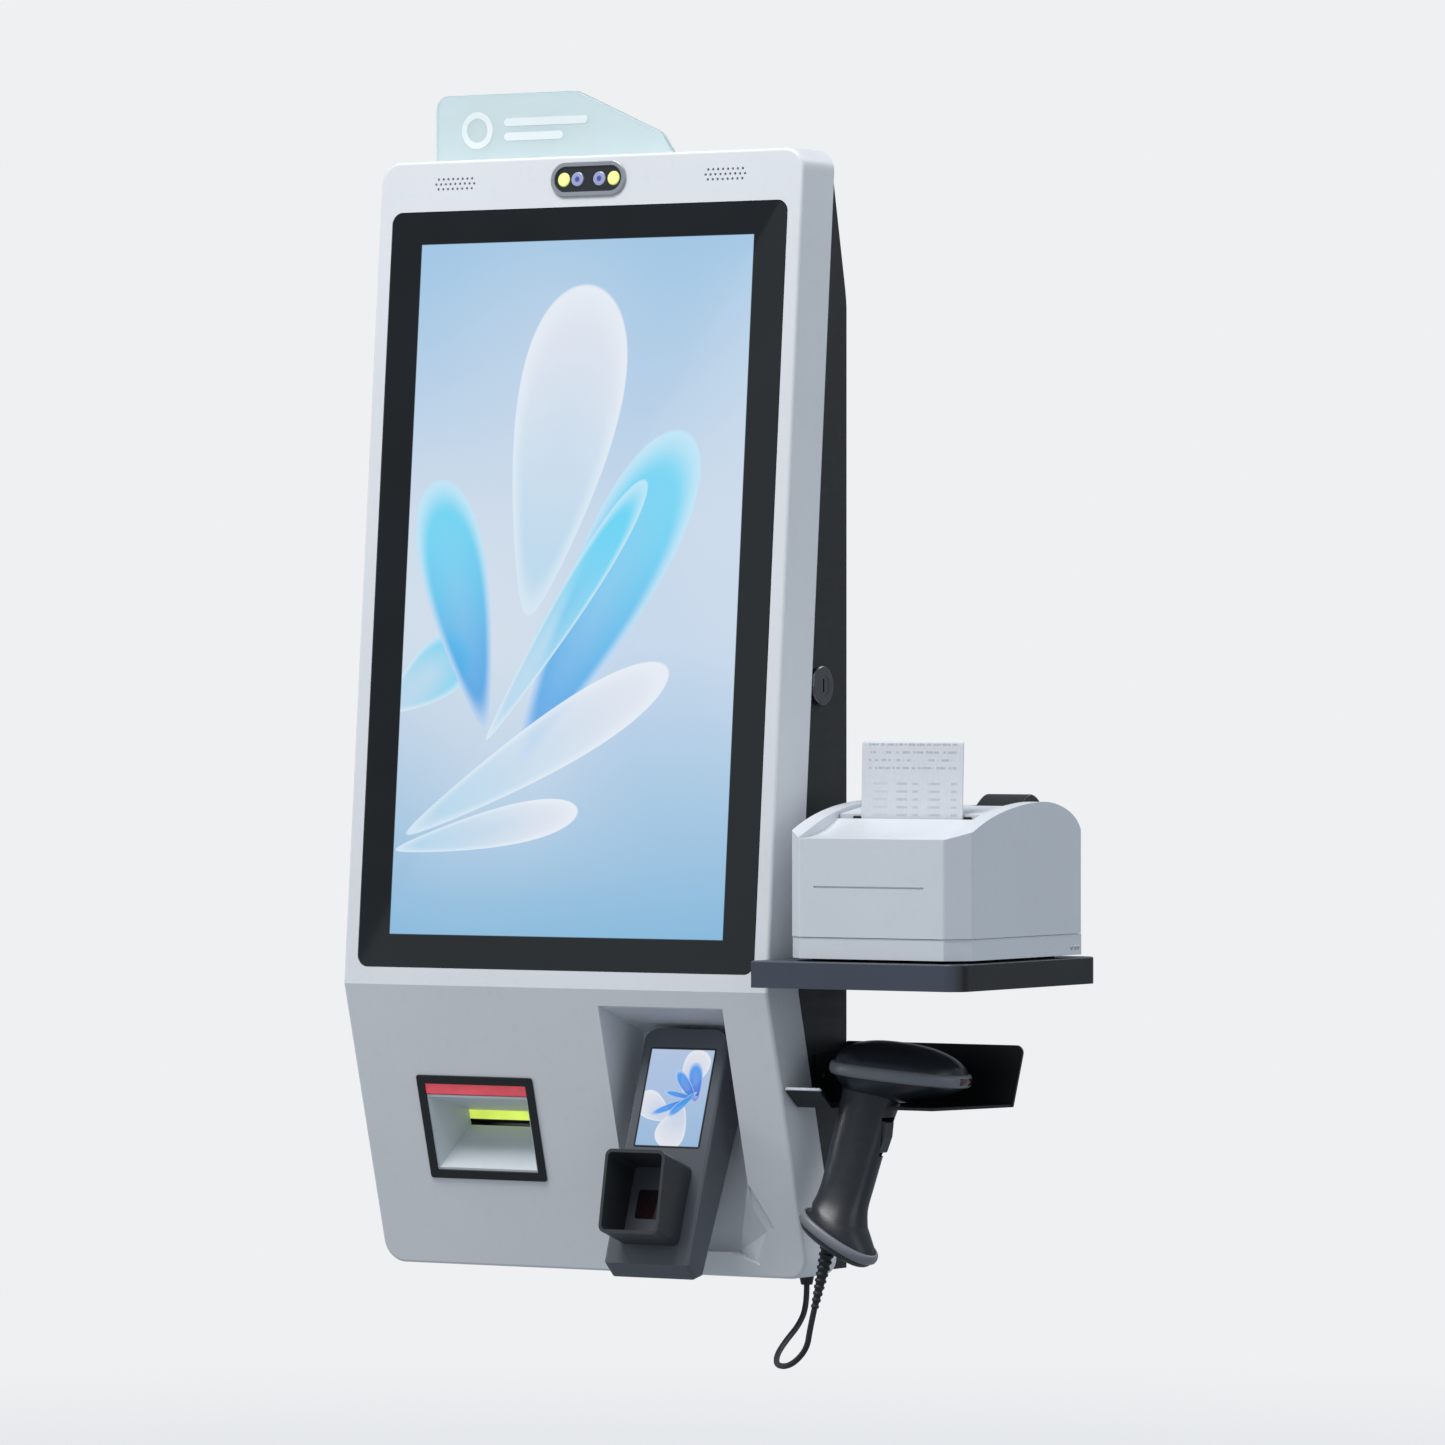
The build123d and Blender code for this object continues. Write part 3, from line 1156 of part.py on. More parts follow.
with BuildPart() as printer_lid:
    with BuildSketch(across(PRINTER_X)):
        with BuildLine():
            Line(yz(-75.4, 113.4), yz(-75.4, 119.5))
            Spline(yz(-75.4, 119.5), yz(-39, 124.6), yz(-14, 125), yz(6, 121.5), yz(24, 111))
            Line(yz(24, 111), yz(24.5, 104))
            Line(yz(24.5, 104), yz(17.5, 104))
            Line(yz(17.5, 104), yz(17.5, 111.5))
            Spline(yz(17.5, 111.5), yz(4, 118.6), yz(-14, 122), yz(-39, 121.6), yz(-73, 117))
            Line(yz(-73, 117), yz(-73, 113.4))
            Line(yz(-73, 113.4), yz(-75.4, 113.4))
        make_face()
    extrude(amount=CHEEK_INNER - LID_SLACK, both=True)
    with BuildSketch(across(PRINTER_X)):
        with Locations(LID_HINGE):
            Circle(4.2)
    extrude(amount=CHEEK_INNER - LID_SLACK, both=True)
    with BuildSketch(across(PRINTER_X)):
        with Locations(LID_HINGE):
            Circle(LID_PIN_R)
    extrude(amount=CHEEK_INNER + 4, both=True)
    # lugs that carry the platen
    for lug_x in (PRINTER_X - 49, PRINTER_X + 46):
        with BuildSketch(across(lug_x)):
            Polygon(yz(-74, 117), yz(-74, 104), yz(-67, 104), yz(-64, 118.2), align=None)
        extrude(amount=3)
    with BuildSketch(across(PRINTER_X)):
        with Locations(PRINT_PLATEN_AT):
            Circle(1.8 + RUN_FIT)
    extrude(amount=60, both=True, mode=Mode.SUBTRACT)
    # opening for the release lever, and the lugs of its pin
    with BuildSketch(level(110)):
        with Locations((LEVER_X, BACK_Y + (LEVER_FRONT + LEVER_REAR) / 2 + 0.6)):
            Rectangle(LEVER_W + 1, LEVER_REAR - LEVER_FRONT + 2.2)
    extrude(amount=30, mode=Mode.SUBTRACT)
    for lug_x in (LEVER_X - LEVER_W / 2 - 1.8, LEVER_X + LEVER_W / 2 + 0.5):
        with BuildSketch(across(lug_x)):
            Polygon(yz(-1, 121), yz(-1, 116), yz(6, 116), yz(6, 120), align=None)
        extrude(amount=1.3)
    with BuildSketch(across(LEVER_X)):
        with Locations(LEVER_PIVOT):
            Circle(LEVER_PIN_R + RUN_FIT)
    extrude(amount=LEVER_W / 2 + 2, both=True, mode=Mode.SUBTRACT)
printer_lid.part.label = "printer_lid"
export_step(printer_lid.part, "parts/printer_lid.step")

with BuildPart() as printer_lever:
    with BuildSketch(across(LEVER_X)):
        with BuildLine():
            Spline(yz(LEVER_FRONT, 120.5), yz(-24, 128), yz(-13, 132.5), yz(-2, 129), yz(LEVER_REAR, 121))
            Line(yz(LEVER_REAR, 121), yz(LEVER_REAR, 117.5))
            Line(yz(LEVER_REAR, 117.5), yz(LEVER_FRONT, 118))
            Line(yz(LEVER_FRONT, 118), yz(LEVER_FRONT, 120.5))
        make_face()
    extrude(amount=LEVER_W / 2, both=True)
    fillet(printer_lever.faces().filter_by(Axis.X).edges().filter_by(GeomType.BSPLINE), 1.2)
    with BuildSketch(across(LEVER_X)):
        with Locations(LEVER_PIVOT):
            Circle(2.2)
    extrude(amount=LEVER_W / 2, both=True)
    with BuildSketch(across(LEVER_X)):
        with Locations(LEVER_PIVOT):
            Circle(LEVER_PIN_R)
    extrude(amount=LEVER_W / 2 + 1.6, both=True)
printer_lever.part.label = "printer_lever"
export_step(printer_lever.part, "parts/printer_lever.step")

with BuildPart() as printer_platen:
    with BuildSketch(across(PRINTER_X - 45.6)):
        with Locations(PRINT_PLATEN_AT):
            Circle(4.6)
    extrude(amount=91.2)
    with BuildSketch(across(PRINTER_X)):
        with Locations(PRINT_PLATEN_AT):
            Circle(1.8)
    extrude(amount=51, both=True)
printer_platen.part.label = "printer_platen"
export_step(printer_platen.part, "parts/printer_platen.step")

with BuildPart() as printer_roll:
    with BuildSketch(across(PRINTER_X)):
        with Locations(PRINT_ROLL_AT):
            Circle(PRINT_ROLL_R)
            Circle(6.5, mode=Mode.SUBTRACT)
    extrude(amount=ROLL_W / 2, both=True)
printer_roll.part.label = "printer_roll"
export_step(printer_roll.part, "parts/printer_roll.step")

with BuildPart() as printer_mechanism:
    with BuildSketch(across(PRINTER_X)):
        Polygon(
            yz(-112, 28.2), yz(20, 28.2), yz(20, 76), yz(-22, 76), yz(-56, 76), yz(-56, 97.5), yz(-112, 97.5),
            align=None,
        )
        with Locations(PRINT_ROLL_AT):
            Circle(PRINT_ROLL_R + 1, mode=Mode.SUBTRACT)
    extrude(amount=48, both=True)
printer_mechanism.part.label = "printer_mechanism"
export_step(printer_mechanism.part, "parts/printer_mechanism.step")

with BuildPart() as receipt_paper:
    with BuildSketch(across(PRINTER_X)):
        with BuildLine():
            Spline(yz(-77.3, 101), yz(-77.3, 120), yz(-76.3, 168))
            Line(yz(-76.3, 168), yz(-76.0, 168))
            Spline(yz(-76.0, 168), yz(-77.0, 120), yz(-77.0, 101))
            Line(yz(-77.0, 101), yz(-77.3, 101))
        make_face()
    extrude(amount=39, both=True)
receipt_paper.part.label = "receipt_paper"
export_step(receipt_paper.part, "parts/receipt_paper.step")

# ---------------------------------------------------------------- handheld scanner
HEAD_TURN = 10.0           # head points right and this much towards the wall, degrees
HEAD_DROP = 5.6            # and its nose drops, degrees
HEAD_HALF, HEAD_SIDE = 46.6, 28.0
HEAD_AT = spot(241.5, -57.0, -54.0)
BAND_LOW, BAND_HIGH = -3.4, 3.4
HEAD_SECTIONS = [          # height above the band, half length and half width
    (-16.0, 34.5, 16.0),
    (-4.4, HEAD_HALF, HEAD_SIDE),
    (4.4, HEAD_HALF, HEAD_SIDE),
    (14.0, 40.0, 22.0),
    (21.0, 28.0, 12.0),
]
turn, drop = radians(HEAD_TURN), radians(HEAD_DROP)
nose = Vector(cos(turn) * cos(drop), sin(turn) * cos(drop), -sin(drop))
head_up = Vector(cos(turn) * sin(drop), sin(turn) * sin(drop), cos(drop))
head = Plane(origin=HEAD_AT, x_dir=nose, z_dir=head_up)
WINDOW_W, WINDOW_H = 14.0, 5.0
head_face = Plane(
    origin=head.from_local_coords((HEAD_HALF + 0.05, 0, 0)),
    x_dir=head_up.cross(nose),
    z_dir=nose,
)
FOOT_TILT = 31.0
foot_up = Vector(sin(radians(FOOT_TILT)), 0, cos(radians(FOOT_TILT)))
foot_along = Vector(cos(radians(FOOT_TILT)), 0, -sin(radians(FOOT_TILT)))
foot = Plane(origin=spot(214.0, -90.0, -160.0), x_dir=foot_along, z_dir=foot_up)
FOOT_THICK = 11.0
GRIP = [                   # centre, half length and half width of the grip's sections
    ((222.0, -60.0, -62.0), 20.0, 14.5),
    ((216.4, -71.0, -104.0), 18.8, 14.0),
    ((213.4, -79.0, -128.0), 17.8, 13.5),
    ((211.5, -85.5, -146.0), 19.5, 15.0),
]
TRIGGER_Y = -68.0
TRIGGER = [(229.5, -84.8), (239.6, -85.5), (238.4, -96.0), (234.2, -107.0), (228.6, -106.0), (228.6, -92.0)]
TRIGGER_PIVOT = (231.5, CHIN_Z - 87.5)
TRIGGER_PIN_R = 1.0

with BuildPart() as scanner_body:
    for rise, half_long, half_wide in HEAD_SECTIONS:
        with BuildSketch(head.offset(rise)):
            Ellipse(half_long, half_wide)
    loft(ruled=True)
    for centre, half_long, half_wide in GRIP:
        with BuildSketch(Plane(origin=spot(*centre))):
            Ellipse(half_long, half_wide)
    with BuildSketch(foot):
        Ellipse(29.5, 17.5)
    loft()
    # pocket for the trigger
    with BuildSketch(upright(TRIGGER_Y - 6)):
        Polygon(
            (228.0, CHIN_Z - 83), (250.0, CHIN_Z - 83), (250.0, CHIN_Z - 109), (222.0, CHIN_Z - 109),
            align=None,
        )
    extrude(amount=-12, mode=Mode.SUBTRACT)
    with BuildSketch(upright(TRIGGER_Y - 7.5)):
        with Locations(TRIGGER_PIVOT):
            Circle(TRIGGER_PIN_R + RUN_FIT)
    extrude(amount=-15, mode=Mode.SUBTRACT)
scanner_body.part.label = "scanner_body"
export_step(scanner_body.part, "parts/scanner_body.step")

with BuildPart() as scanner_bumper:
    with BuildSketch(head.offset(BAND_LOW)):
        Ellipse(HEAD_HALF + 2.4, HEAD_SIDE + 2.4)
        Ellipse(HEAD_HALF, HEAD_SIDE, mode=Mode.SUBTRACT)
    extrude(amount=BAND_HIGH - BAND_LOW)
    # slot for the window
    with BuildSketch(head_face.offset(-4)):
        Rectangle(WINDOW_W + 0.4, WINDOW_H + 0.4)
    extrude(amount=8, mode=Mode.SUBTRACT)
scanner_bumper.part.label = "scanner_bumper"
export_step(scanner_bumper.part, "parts/scanner_bumper.step")

with BuildPart() as scanner_window:
    with BuildSketch(head_face):
        RectangleRounded(WINDOW_W, WINDOW_H, 1.2)
    extrude(amount=1.3)
scanner_window.part.label = "scanner_window"
export_step(scanner_window.part, "parts/scanner_window.step")

with BuildPart() as scanner_trigger:
    with BuildSketch(upright(TRIGGER_Y - 5.5)):
        Polygon(*[(x, CHIN_Z + z) for x, z in TRIGGER], align=None)
    extrude(amount=-11)
    fillet(scanner_trigger.edges().filter_by(Axis.Y), 1.5)
    with BuildSketch(upright(TRIGGER_Y - 7)):
        with Locations(TRIGGER_PIVOT):
            Circle(TRIGGER_PIN_R)
    extrude(amount=-14)
scanner_trigger.part.label = "scanner_trigger"
export_step(scanner_trigger.part, "parts/scanner_trigger.step")

with BuildPart() as scanner_foot:
    with BuildSketch(foot):
        Ellipse(30.5, 18.5)
    extrude(amount=-FOOT_THICK)
    fillet(scanner_foot.edges(), 2.5)
scanner_foot.part.label = "scanner_foot"
export_step(scanner_foot.part, "parts/scanner_foot.step")

# ---------------------------------------------------------------- scanner lead
CORD_R = 2.0
RELIEF_LONG = 44.0
# From the strain relief down, round a short hanging loop and up into the gland.
LEAD = [
    (196.2, -94.0, -212.0),
    (193.6, -94.8, -224.0),
    (191.0, -94.5, -238.0),
    (176.0, -90.0, -250.0),
    (157.0, -77.0, -252.0),
    (144.0, -56.0, -247.0),
    (139.0, -36.0, -239.0),
    (139.6, -19.0, -229.0),
    (140.0, -9.3, -217.0),
    (140.0, -9.3, -202.0),
]
lead = [Vector(*spot(*point)) for point in LEAD]
runs = [after - before for before, after in zip(lead, lead[1:])]
turns = [before.get_angle(after) for before, after in zip(runs, runs[1:])]
radii = [
    0.45 * min(before.length, after.length) / tan(radians(angle / 2))
    for before, after, angle in zip(runs, runs[1:], turns)
]
relief_axis = runs[0].normalized()

with BuildPart() as scanner_strain_relief:
    with BuildSketch(Plane(origin=lead[0] - relief_axis * RELIEF_LONG, z_dir=relief_axis)):
        Circle(5.6)
    with BuildSketch(Plane(origin=lead[0], z_dir=relief_axis)):
        Circle(2.7)
    loft()
    split(bisect_by=foot.offset(-FOOT_THICK), keep=Keep.BOTTOM)
scanner_strain_relief.part.label = "scanner_strain_relief"
export_step(scanner_strain_relief.part, "parts/scanner_strain_relief.step")

with BuildPart() as scanner_cord:
    with BuildLine() as route:
        FilletPolyline(*lead, radius=radii)
    with BuildSketch(Plane(origin=lead[0], z_dir=relief_axis)):
        Circle(CORD_R)
    sweep(path=route.wires()[0])
scanner_cord.part.label = "scanner_cord"
export_step(scanner_cord.part, "parts/scanner_cord.step")

lead_length = route.wires()[0].length
print("lead radii", [round(r, 1) for r in radii])
print("lead runs", [round(run.length, 1) for run in runs], "turns", [round(t) for t in turns])
print("lead length", round(lead_length, 1))
print("lead volume ratio", round(scanner_cord.part.volume / (lead_length * pi * CORD_R ** 2), 4))
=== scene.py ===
from math import cos, pi, radians, sin

import bmesh
import bpy
from mathutils import Matrix, Vector


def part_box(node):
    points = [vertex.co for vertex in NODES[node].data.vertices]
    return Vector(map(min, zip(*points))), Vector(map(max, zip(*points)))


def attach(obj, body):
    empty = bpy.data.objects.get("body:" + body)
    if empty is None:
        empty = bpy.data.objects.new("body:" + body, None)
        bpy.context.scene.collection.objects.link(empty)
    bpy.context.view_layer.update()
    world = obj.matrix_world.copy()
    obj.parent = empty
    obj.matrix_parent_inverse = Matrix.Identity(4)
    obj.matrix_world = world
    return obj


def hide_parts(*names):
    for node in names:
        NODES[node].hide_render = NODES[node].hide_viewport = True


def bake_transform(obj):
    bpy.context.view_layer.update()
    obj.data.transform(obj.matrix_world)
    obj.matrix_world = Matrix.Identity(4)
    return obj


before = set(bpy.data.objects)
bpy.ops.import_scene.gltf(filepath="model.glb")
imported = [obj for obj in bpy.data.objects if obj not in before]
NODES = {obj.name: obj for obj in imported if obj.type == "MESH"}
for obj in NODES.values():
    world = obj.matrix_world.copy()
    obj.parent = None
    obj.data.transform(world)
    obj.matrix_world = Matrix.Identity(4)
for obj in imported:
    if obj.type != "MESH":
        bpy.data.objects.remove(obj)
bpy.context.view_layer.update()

# Looks of a wall-mounted self checkout kiosk. Metres, in the model's own frame:
# X to the viewer's right, Y into the wall, Z up, origin on the wall.
MM = 0.001

# The photo's viewpoint, fitted to the kiosk's edges in it
CAMERA_PLACE = (2.9813, -4.8293, 0.0277)
CAMERA_TURN = (radians(89.661), 0.0, radians(31.425))
CAMERA_LENS = 203.3                    # mm, on a sensor 36 mm wide
BACKDROP = (0.86, 0.87, 0.885, 1.0)    # plain studio background

# Design places that the pieces below are built on
CHIN_Z = -0.185                        # crease between the door's two panels
UPPER_TILT = radians(4.9)
SCREEN_UP = 0.2728                     # screen centre above the crease, along the panel
SCREEN_HALF_W, SCREEN_HALF_H = 0.1339, 0.23805
CAMERA_UP = 0.5526                     # camera centre above the crease, along the panel
LENS_X, LED_X = 0.0088, 0.0200         # from the camera's middle
LENS_R = 0.0054
TERMINAL_TILT = radians(19.1)
TERMINAL_X = 0.0845                    # middle of the payment terminal
TERMINAL_SCREEN_Z = -0.2580            # height of the payment display's middle
TERMINAL_SCREEN_HALF_W = 0.026
LIP_TOP_Z = -0.2500                    # top edge of the scanner holder's lip
LIP_BACK_Y = -0.1340                   # the holder's lip lies in front of this
BOARD_FACE_Y = -0.0711                 # front of the main board
BOARD_MIDDLE_Z = 0.1800
TO_FRONT = Vector((0.0, -1.0, 0.0))
ACROSS_X = Vector((1.0, 0.0, 0.0))
ACROSS_Y = Vector((0.0, 1.0, 0.0))


def spot(x, y, z):
    """Metres in the model's frame from mm across, from the cabinet's back sheet, and from the crease."""
    return Vector((x * MM, (y - 60.0) * MM, z * MM + CHIN_Z))


def panel_height(up):
    """Height of a place on the leaning upper panel, from its way up along the panel."""
    return CHIN_Z + up * cos(UPPER_TILT)


# ------------------------ camera and light
def make_camera():
    data = bpy.data.cameras.new("camera")
    data.sensor_width = 36.0
    data.lens = CAMERA_LENS
    data.clip_end = 60.0
    camera = bpy.data.objects.new("camera", data)
    camera.location = CAMERA_PLACE
    camera.rotation_euler = CAMERA_TURN
    bpy.context.scene.collection.objects.link(camera)
    bpy.context.scene.camera = camera


def softbox(name, place, aim, width, height, power, colour):
    """A rectangular area light at place that shines towards aim."""
    data = bpy.data.lights.new(name, "AREA")
    data.shape = "RECTANGLE"
    data.size, data.size_y = width, height
    data.energy = power
    data.color = colour
    lamp = bpy.data.objects.new(name, data)
    turn = (Vector(aim) - Vector(place)).to_track_quat("-Z", "Y")
    lamp.matrix_world = Matrix.Translation(place) @ turn.to_matrix().to_4x4()
    lamp.visible_camera = False
    bpy.context.scene.collection.objects.link(lamp)
    return lamp


def make_lamps():
    softbox("key", (-0.5, -1.75, 2.9), (0, -0.1, 0), 2.0, 1.5, 97.0, (1.0, 0.99, 0.98))
    softbox("side_fill", (3.2, -0.9, 0.8), (0.1, -0.1, 0), 1.6, 2.0, 12.0, (0.90, 0.95, 1.0))
    softbox("left_strip", (-2.6, -1.15, 0.0), (0.1, -0.1, -0.2), 0.22, 1.6, 9.0, (0.95, 0.97, 1.0))
    softbox("back_fill", (1.6, 2.6, 2.6), (0, -0.1, 0), 1.6, 1.6, 40.0, (0.95, 0.97, 1.0))
    # a card whose reflection lies across the lower right half of the screen
    card = softbox("card", (-0.970, -2.014, 0.304), (0, 0, 0), 0.5, 1.2, 0.55, (0.88, 0.95, 1.0))
    side = Vector((0.8615, -0.1734, -0.4767))
    edge = Vector((0.488, 0.0253, 0.872))
    turn = Matrix((side, edge, side.cross(edge))).transposed().to_4x4()
    card.matrix_world = Matrix.Translation(card.location) @ turn


def make_world():
    """Soft light from all round; the camera, and rays through the clear sign, see the plain backdrop."""
    world = bpy.data.worlds.new("studio")
    bpy.context.scene.world = world
    world.use_nodes = True
    tree = world.node_tree
    tree.nodes.clear()
    out = tree.nodes.new("ShaderNodeOutputWorld")
    mixed = tree.nodes.new("ShaderNodeMixShader")
    path = tree.nodes.new("ShaderNodeLightPath")
    ambient = tree.nodes.new("ShaderNodeBackground")
    ambient.inputs["Color"].default_value = (0.80, 0.90, 1.0, 1.0)
    ambient.inputs["Strength"].default_value = 0.385
    through = tree.nodes.new("ShaderNodeMath")
    through.operation = "MAXIMUM"
    tree.links.new(path.outputs["Is Camera Ray"], through.inputs[0])
    tree.links.new(path.outputs["Is Transmission Ray"], through.inputs[1])
    seen = tree.nodes.new("ShaderNodeBackground")
    seen.inputs["Color"].default_value = BACKDROP
    tree.links.new(through.outputs[0], mixed.inputs["Fac"])
    tree.links.new(ambient.outputs[0], mixed.inputs[1])
    tree.links.new(seen.outputs[0], mixed.inputs[2])
    tree.links.new(mixed.outputs[0], out.inputs["Surface"])
    bpy.context.scene.view_settings.view_transform = "Standard"


make_camera()
make_lamps()
make_world()


# ------------------------ material kit
def shade(colour, factor):
    """A colour made lighter or darker, with the fourth number that a colour socket wants."""
    return tuple(min(1.0, channel * factor) for channel in colour[:3]) + (1.0,)


class Look:
    """One principled material, with short forms for the nodes that vary it over the surface."""

    def __init__(self, name, sockets=()):
        self.material = bpy.data.materials.new(name)
        self.material.use_nodes = True
        self.tree = self.material.node_tree
        self.tree.nodes.clear()
        self.shader = self.tree.nodes.new("ShaderNodeBsdfPrincipled")
        output = self.tree.nodes.new("ShaderNodeOutputMaterial")
        self.tree.links.new(self.shader.outputs[0], output.inputs["Surface"])
        self.place = self.tree.nodes.new("ShaderNodeTexCoord").outputs["Object"]
        for socket, value in dict(sockets).items():
            self.set(socket, value)

    def feed(self, socket, value):
        if isinstance(value, bpy.types.NodeSocket):
            self.tree.links.new(value, socket)
        else:
            socket.default_value = value

    def set(self, socket, value):
        self.feed(self.shader.inputs[socket], value)

    def node(self, kind, inputs=(), **settings):
        """A new node; inputs maps its socket names or numbers to values or other sockets."""
        made = self.tree.nodes.new("ShaderNode" + kind)
        for setting, value in settings.items():
            setattr(made, setting, value)
        for socket, value in dict(inputs).items():
            self.feed(made.inputs[socket], value)
        return made

    def math(self, operation, *values):
        return self.node("Math", dict(enumerate(values)), operation=operation).outputs[0]

    def product(self, first, *others):
        for other in others:
            first = self.math("MULTIPLY", first, other)
        return first

    def distance(self, x, y):
        return self.math("SQRT", self.math("ADD", self.product(x, x), self.product(y, y)))

    def split(self, vector):
        return self.node("SeparateXYZ", {0: vector}).outputs

    def join(self, x, y, z=0.0):
        return self.node("CombineXYZ", {0: x, 1: y, 2: z}).outputs[0]

    def mapped(self, scale=(1, 1, 1), turn=(0, 0, 0), place=None):
        inputs = {"Vector": place or self.place, "Scale": scale, "Rotation": turn}
        return self.node("Mapping", inputs).outputs[0]

    def noise(self, scale, detail=2.0, place=None):
        inputs = {"Vector": place or self.place, "Scale": scale, "Detail": detail}
        return self.node("TexNoise", inputs).outputs[0]

    def cells(self, scale, feature="F1", output=0):
        inputs = {"Vector": self.place, "Scale": scale}
        return self.node("TexVoronoi", inputs, feature=feature).outputs[output]

    def remap(self, value, low, high, to_low=0.0, to_high=1.0, smooth=False):
        kind = "SMOOTHSTEP" if smooth else "LINEAR"
        inputs = {0: value, 1: low, 2: high, 3: to_low, 4: to_high}
        return self.node("MapRange", inputs, interpolation_type=kind).outputs[0]

    def mix(self, factor, under, over):
        return self.node("Mix", {0: factor, 6: under, 7: over}, data_type="RGBA").outputs[2]

    def bump(self, height, strength, distance):
        inputs = {"Height": height, "Strength": strength, "Distance": distance}
        return self.node("Bump", inputs).outputs[0]


def coated(name, colour, rough, metallic=0.0, drift=0.05, grain=900.0, relief=0.12):
    """Paint or moulded plastic: a slow drift of colour, uneven gloss, wipe marks and a fine skin."""
    look = Look(name, {"Metallic": metallic})
    slow = look.remap(look.noise(6.0, 3.0), 0.35, 0.65)
    tone = look.mix(slow, shade(colour, 1 - drift), shade(colour, 1 + drift))
    dust = look.remap(look.noise(160.0, 5.0), 0.56, 0.80, 0.0, 0.16)
    dusty = tuple(channel * 0.7 + 0.06 for channel in colour[:3]) + (1.0,)
    look.set("Base Color", look.mix(dust, tone, dusty))
    cloud = look.remap(look.noise(32.0, 4.0), 0.3, 0.7, -0.04, 0.05)
    wipes = look.noise(9.0, 5.0, look.mapped((1.0, 1.0, 14.0), (0.5, 0.2, 0.3)))
    gloss = look.math("ADD", cloud, look.remap(wipes, 0.3, 0.7, -0.03, 0.05))
    look.set("Roughness", look.math("ADD", gloss, rough))
    look.set("Normal", look.bump(look.noise(grain, 2.0), relief, 0.0002))
    return look.material


def powder_with_painted_light(name, colour, other, where):
    """Powder coat with a second, darker tone on faces turned to the right as painted shade ("side"), or a
    pale band along the lip's top edge as a painted highlight ("lip").
    """
    look = Look(name)
    slow = look.remap(look.noise(6.0, 3.0), 0.35, 0.65)
    tone = look.mix(slow, shade(colour, 0.92), shade(colour, 1.08))
    if where == "side":
        # faces turned to the right are made darker: painted shade on the side
        normal = look.node("NewGeometry").outputs["Normal"]
        painted_light_mask = look.remap(look.split(normal)[0], 0.55, 0.90)
    else:
        # a thin pale band along the lip's top edge: painted highlight
        _, y, z = look.split(look.place)
        high = look.remap(z, LIP_TOP_Z - 0.0007, LIP_TOP_Z - 0.0003)
        painted_light_mask = look.product(high, look.remap(y, LIP_BACK_Y, LIP_BACK_Y + 0.0005, 1.0, 0.0))
    look.set("Base Color", look.mix(painted_light_mask, tone, shade(other, 1.0)))
    look.set("Roughness", look.remap(look.noise(32.0, 4.0), 0.3, 0.7, 0.36, 0.46))
    look.set("Normal", look.bump(look.noise(1500.0, 2.0), 0.25, 0.0002))
    return look.material


def brushed(name, colour, rough, along="Z"):
    """Bare sheet metal with a grain along one axis, and faint stains."""
    look = Look(name, {"Metallic": 1.0})
    scale = tuple(6.0 if axis == along else 700.0 for axis in "XYZ")
    grain = look.noise(1.0, 4.0, look.mapped(scale))
    stain = look.remap(look.noise(18.0, 4.0), 0.35, 0.7)
    tone = look.mix(grain, shade(colour, 0.82), shade(colour, 1.12))
    look.set("Base Color", look.mix(stain, tone, shade(colour, 0.80)))
    look.set("Roughness", look.math("ADD", look.remap(grain, 0.3, 0.7, -0.07, 0.08), rough))
    look.set("Normal", look.bump(grain, 0.25, 0.0001))
    return look.material


def petal(look, under, flat, at, size, lean, root, tip, solid):
    """Lays one soft teardrop over a picture. size is its half length and half width."""
    inputs = {"Vector": flat, "Location": (*at, 0), "Rotation": (0, 0, radians(lean)), "Scale": (*size, 1)}
    along, aside, _ = look.split(look.node("Mapping", inputs, vector_type="TEXTURE").outputs[0])
    narrowing = look.remap(along, -1.0, 1.0, 0.34, 1.0)
    wide = look.math("DIVIDE", aside, narrowing)
    reach = look.distance(along, wide)
    inside = look.remap(reach, 0.985, 1.005, 1.0, 0.0)
    rim = look.remap(reach, 0.72, 1.0, 0.0, 0.55, smooth=True)
    fill = look.mix(look.remap(along, -0.9, 0.8, smooth=True), shade(root, 1), shade(tip, 1))
    lit = look.mix(rim, fill, (0.88, 0.93, 0.98, 1))
    cover = look.product(inside, look.remap(reach, 0.1, 1.0, solid, 0.95))
    return look.mix(cover, under, lit)


def flat_place(look, middle_x, middle_z, tilt, unit):
    """The surface's own x and y about a middle, for a face that leans by tilt, in units of length."""
    x, _, z = look.split(look.place)
    across = look.math("DIVIDE", look.math("SUBTRACT", x, middle_x), unit)
    up = look.math("DIVIDE", look.math("SUBTRACT", z, middle_z), unit * cos(tilt))
    return across, up


def within(look, value, half, soft):
    """1 where a value lies between plus and minus half, fading over soft."""
    size = look.math("ABSOLUTE", value)
    return look.remap(size, half - soft, half + soft, 1.0, 0.0)


# ------------------------ pictures on the displays
SKY_HIGH, SKY_MID = (0.36, 0.58, 0.80), (0.58, 0.70, 0.85)
SKY_PALE, SKY_LOW = (0.71, 0.78, 0.86), (0.22, 0.48, 0.72)
WHITE_ROOT, WHITE_TIP = (0.50, 0.72, 0.88), (0.80, 0.83, 0.90)
CYAN_ROOT, CYAN_TIP = (0.05, 0.36, 0.80), (0.12, 0.68, 0.93)
BLUE_ROOT, BLUE_TIP = (0.02, 0.12, 0.66), (0.03, 0.32, 0.92)


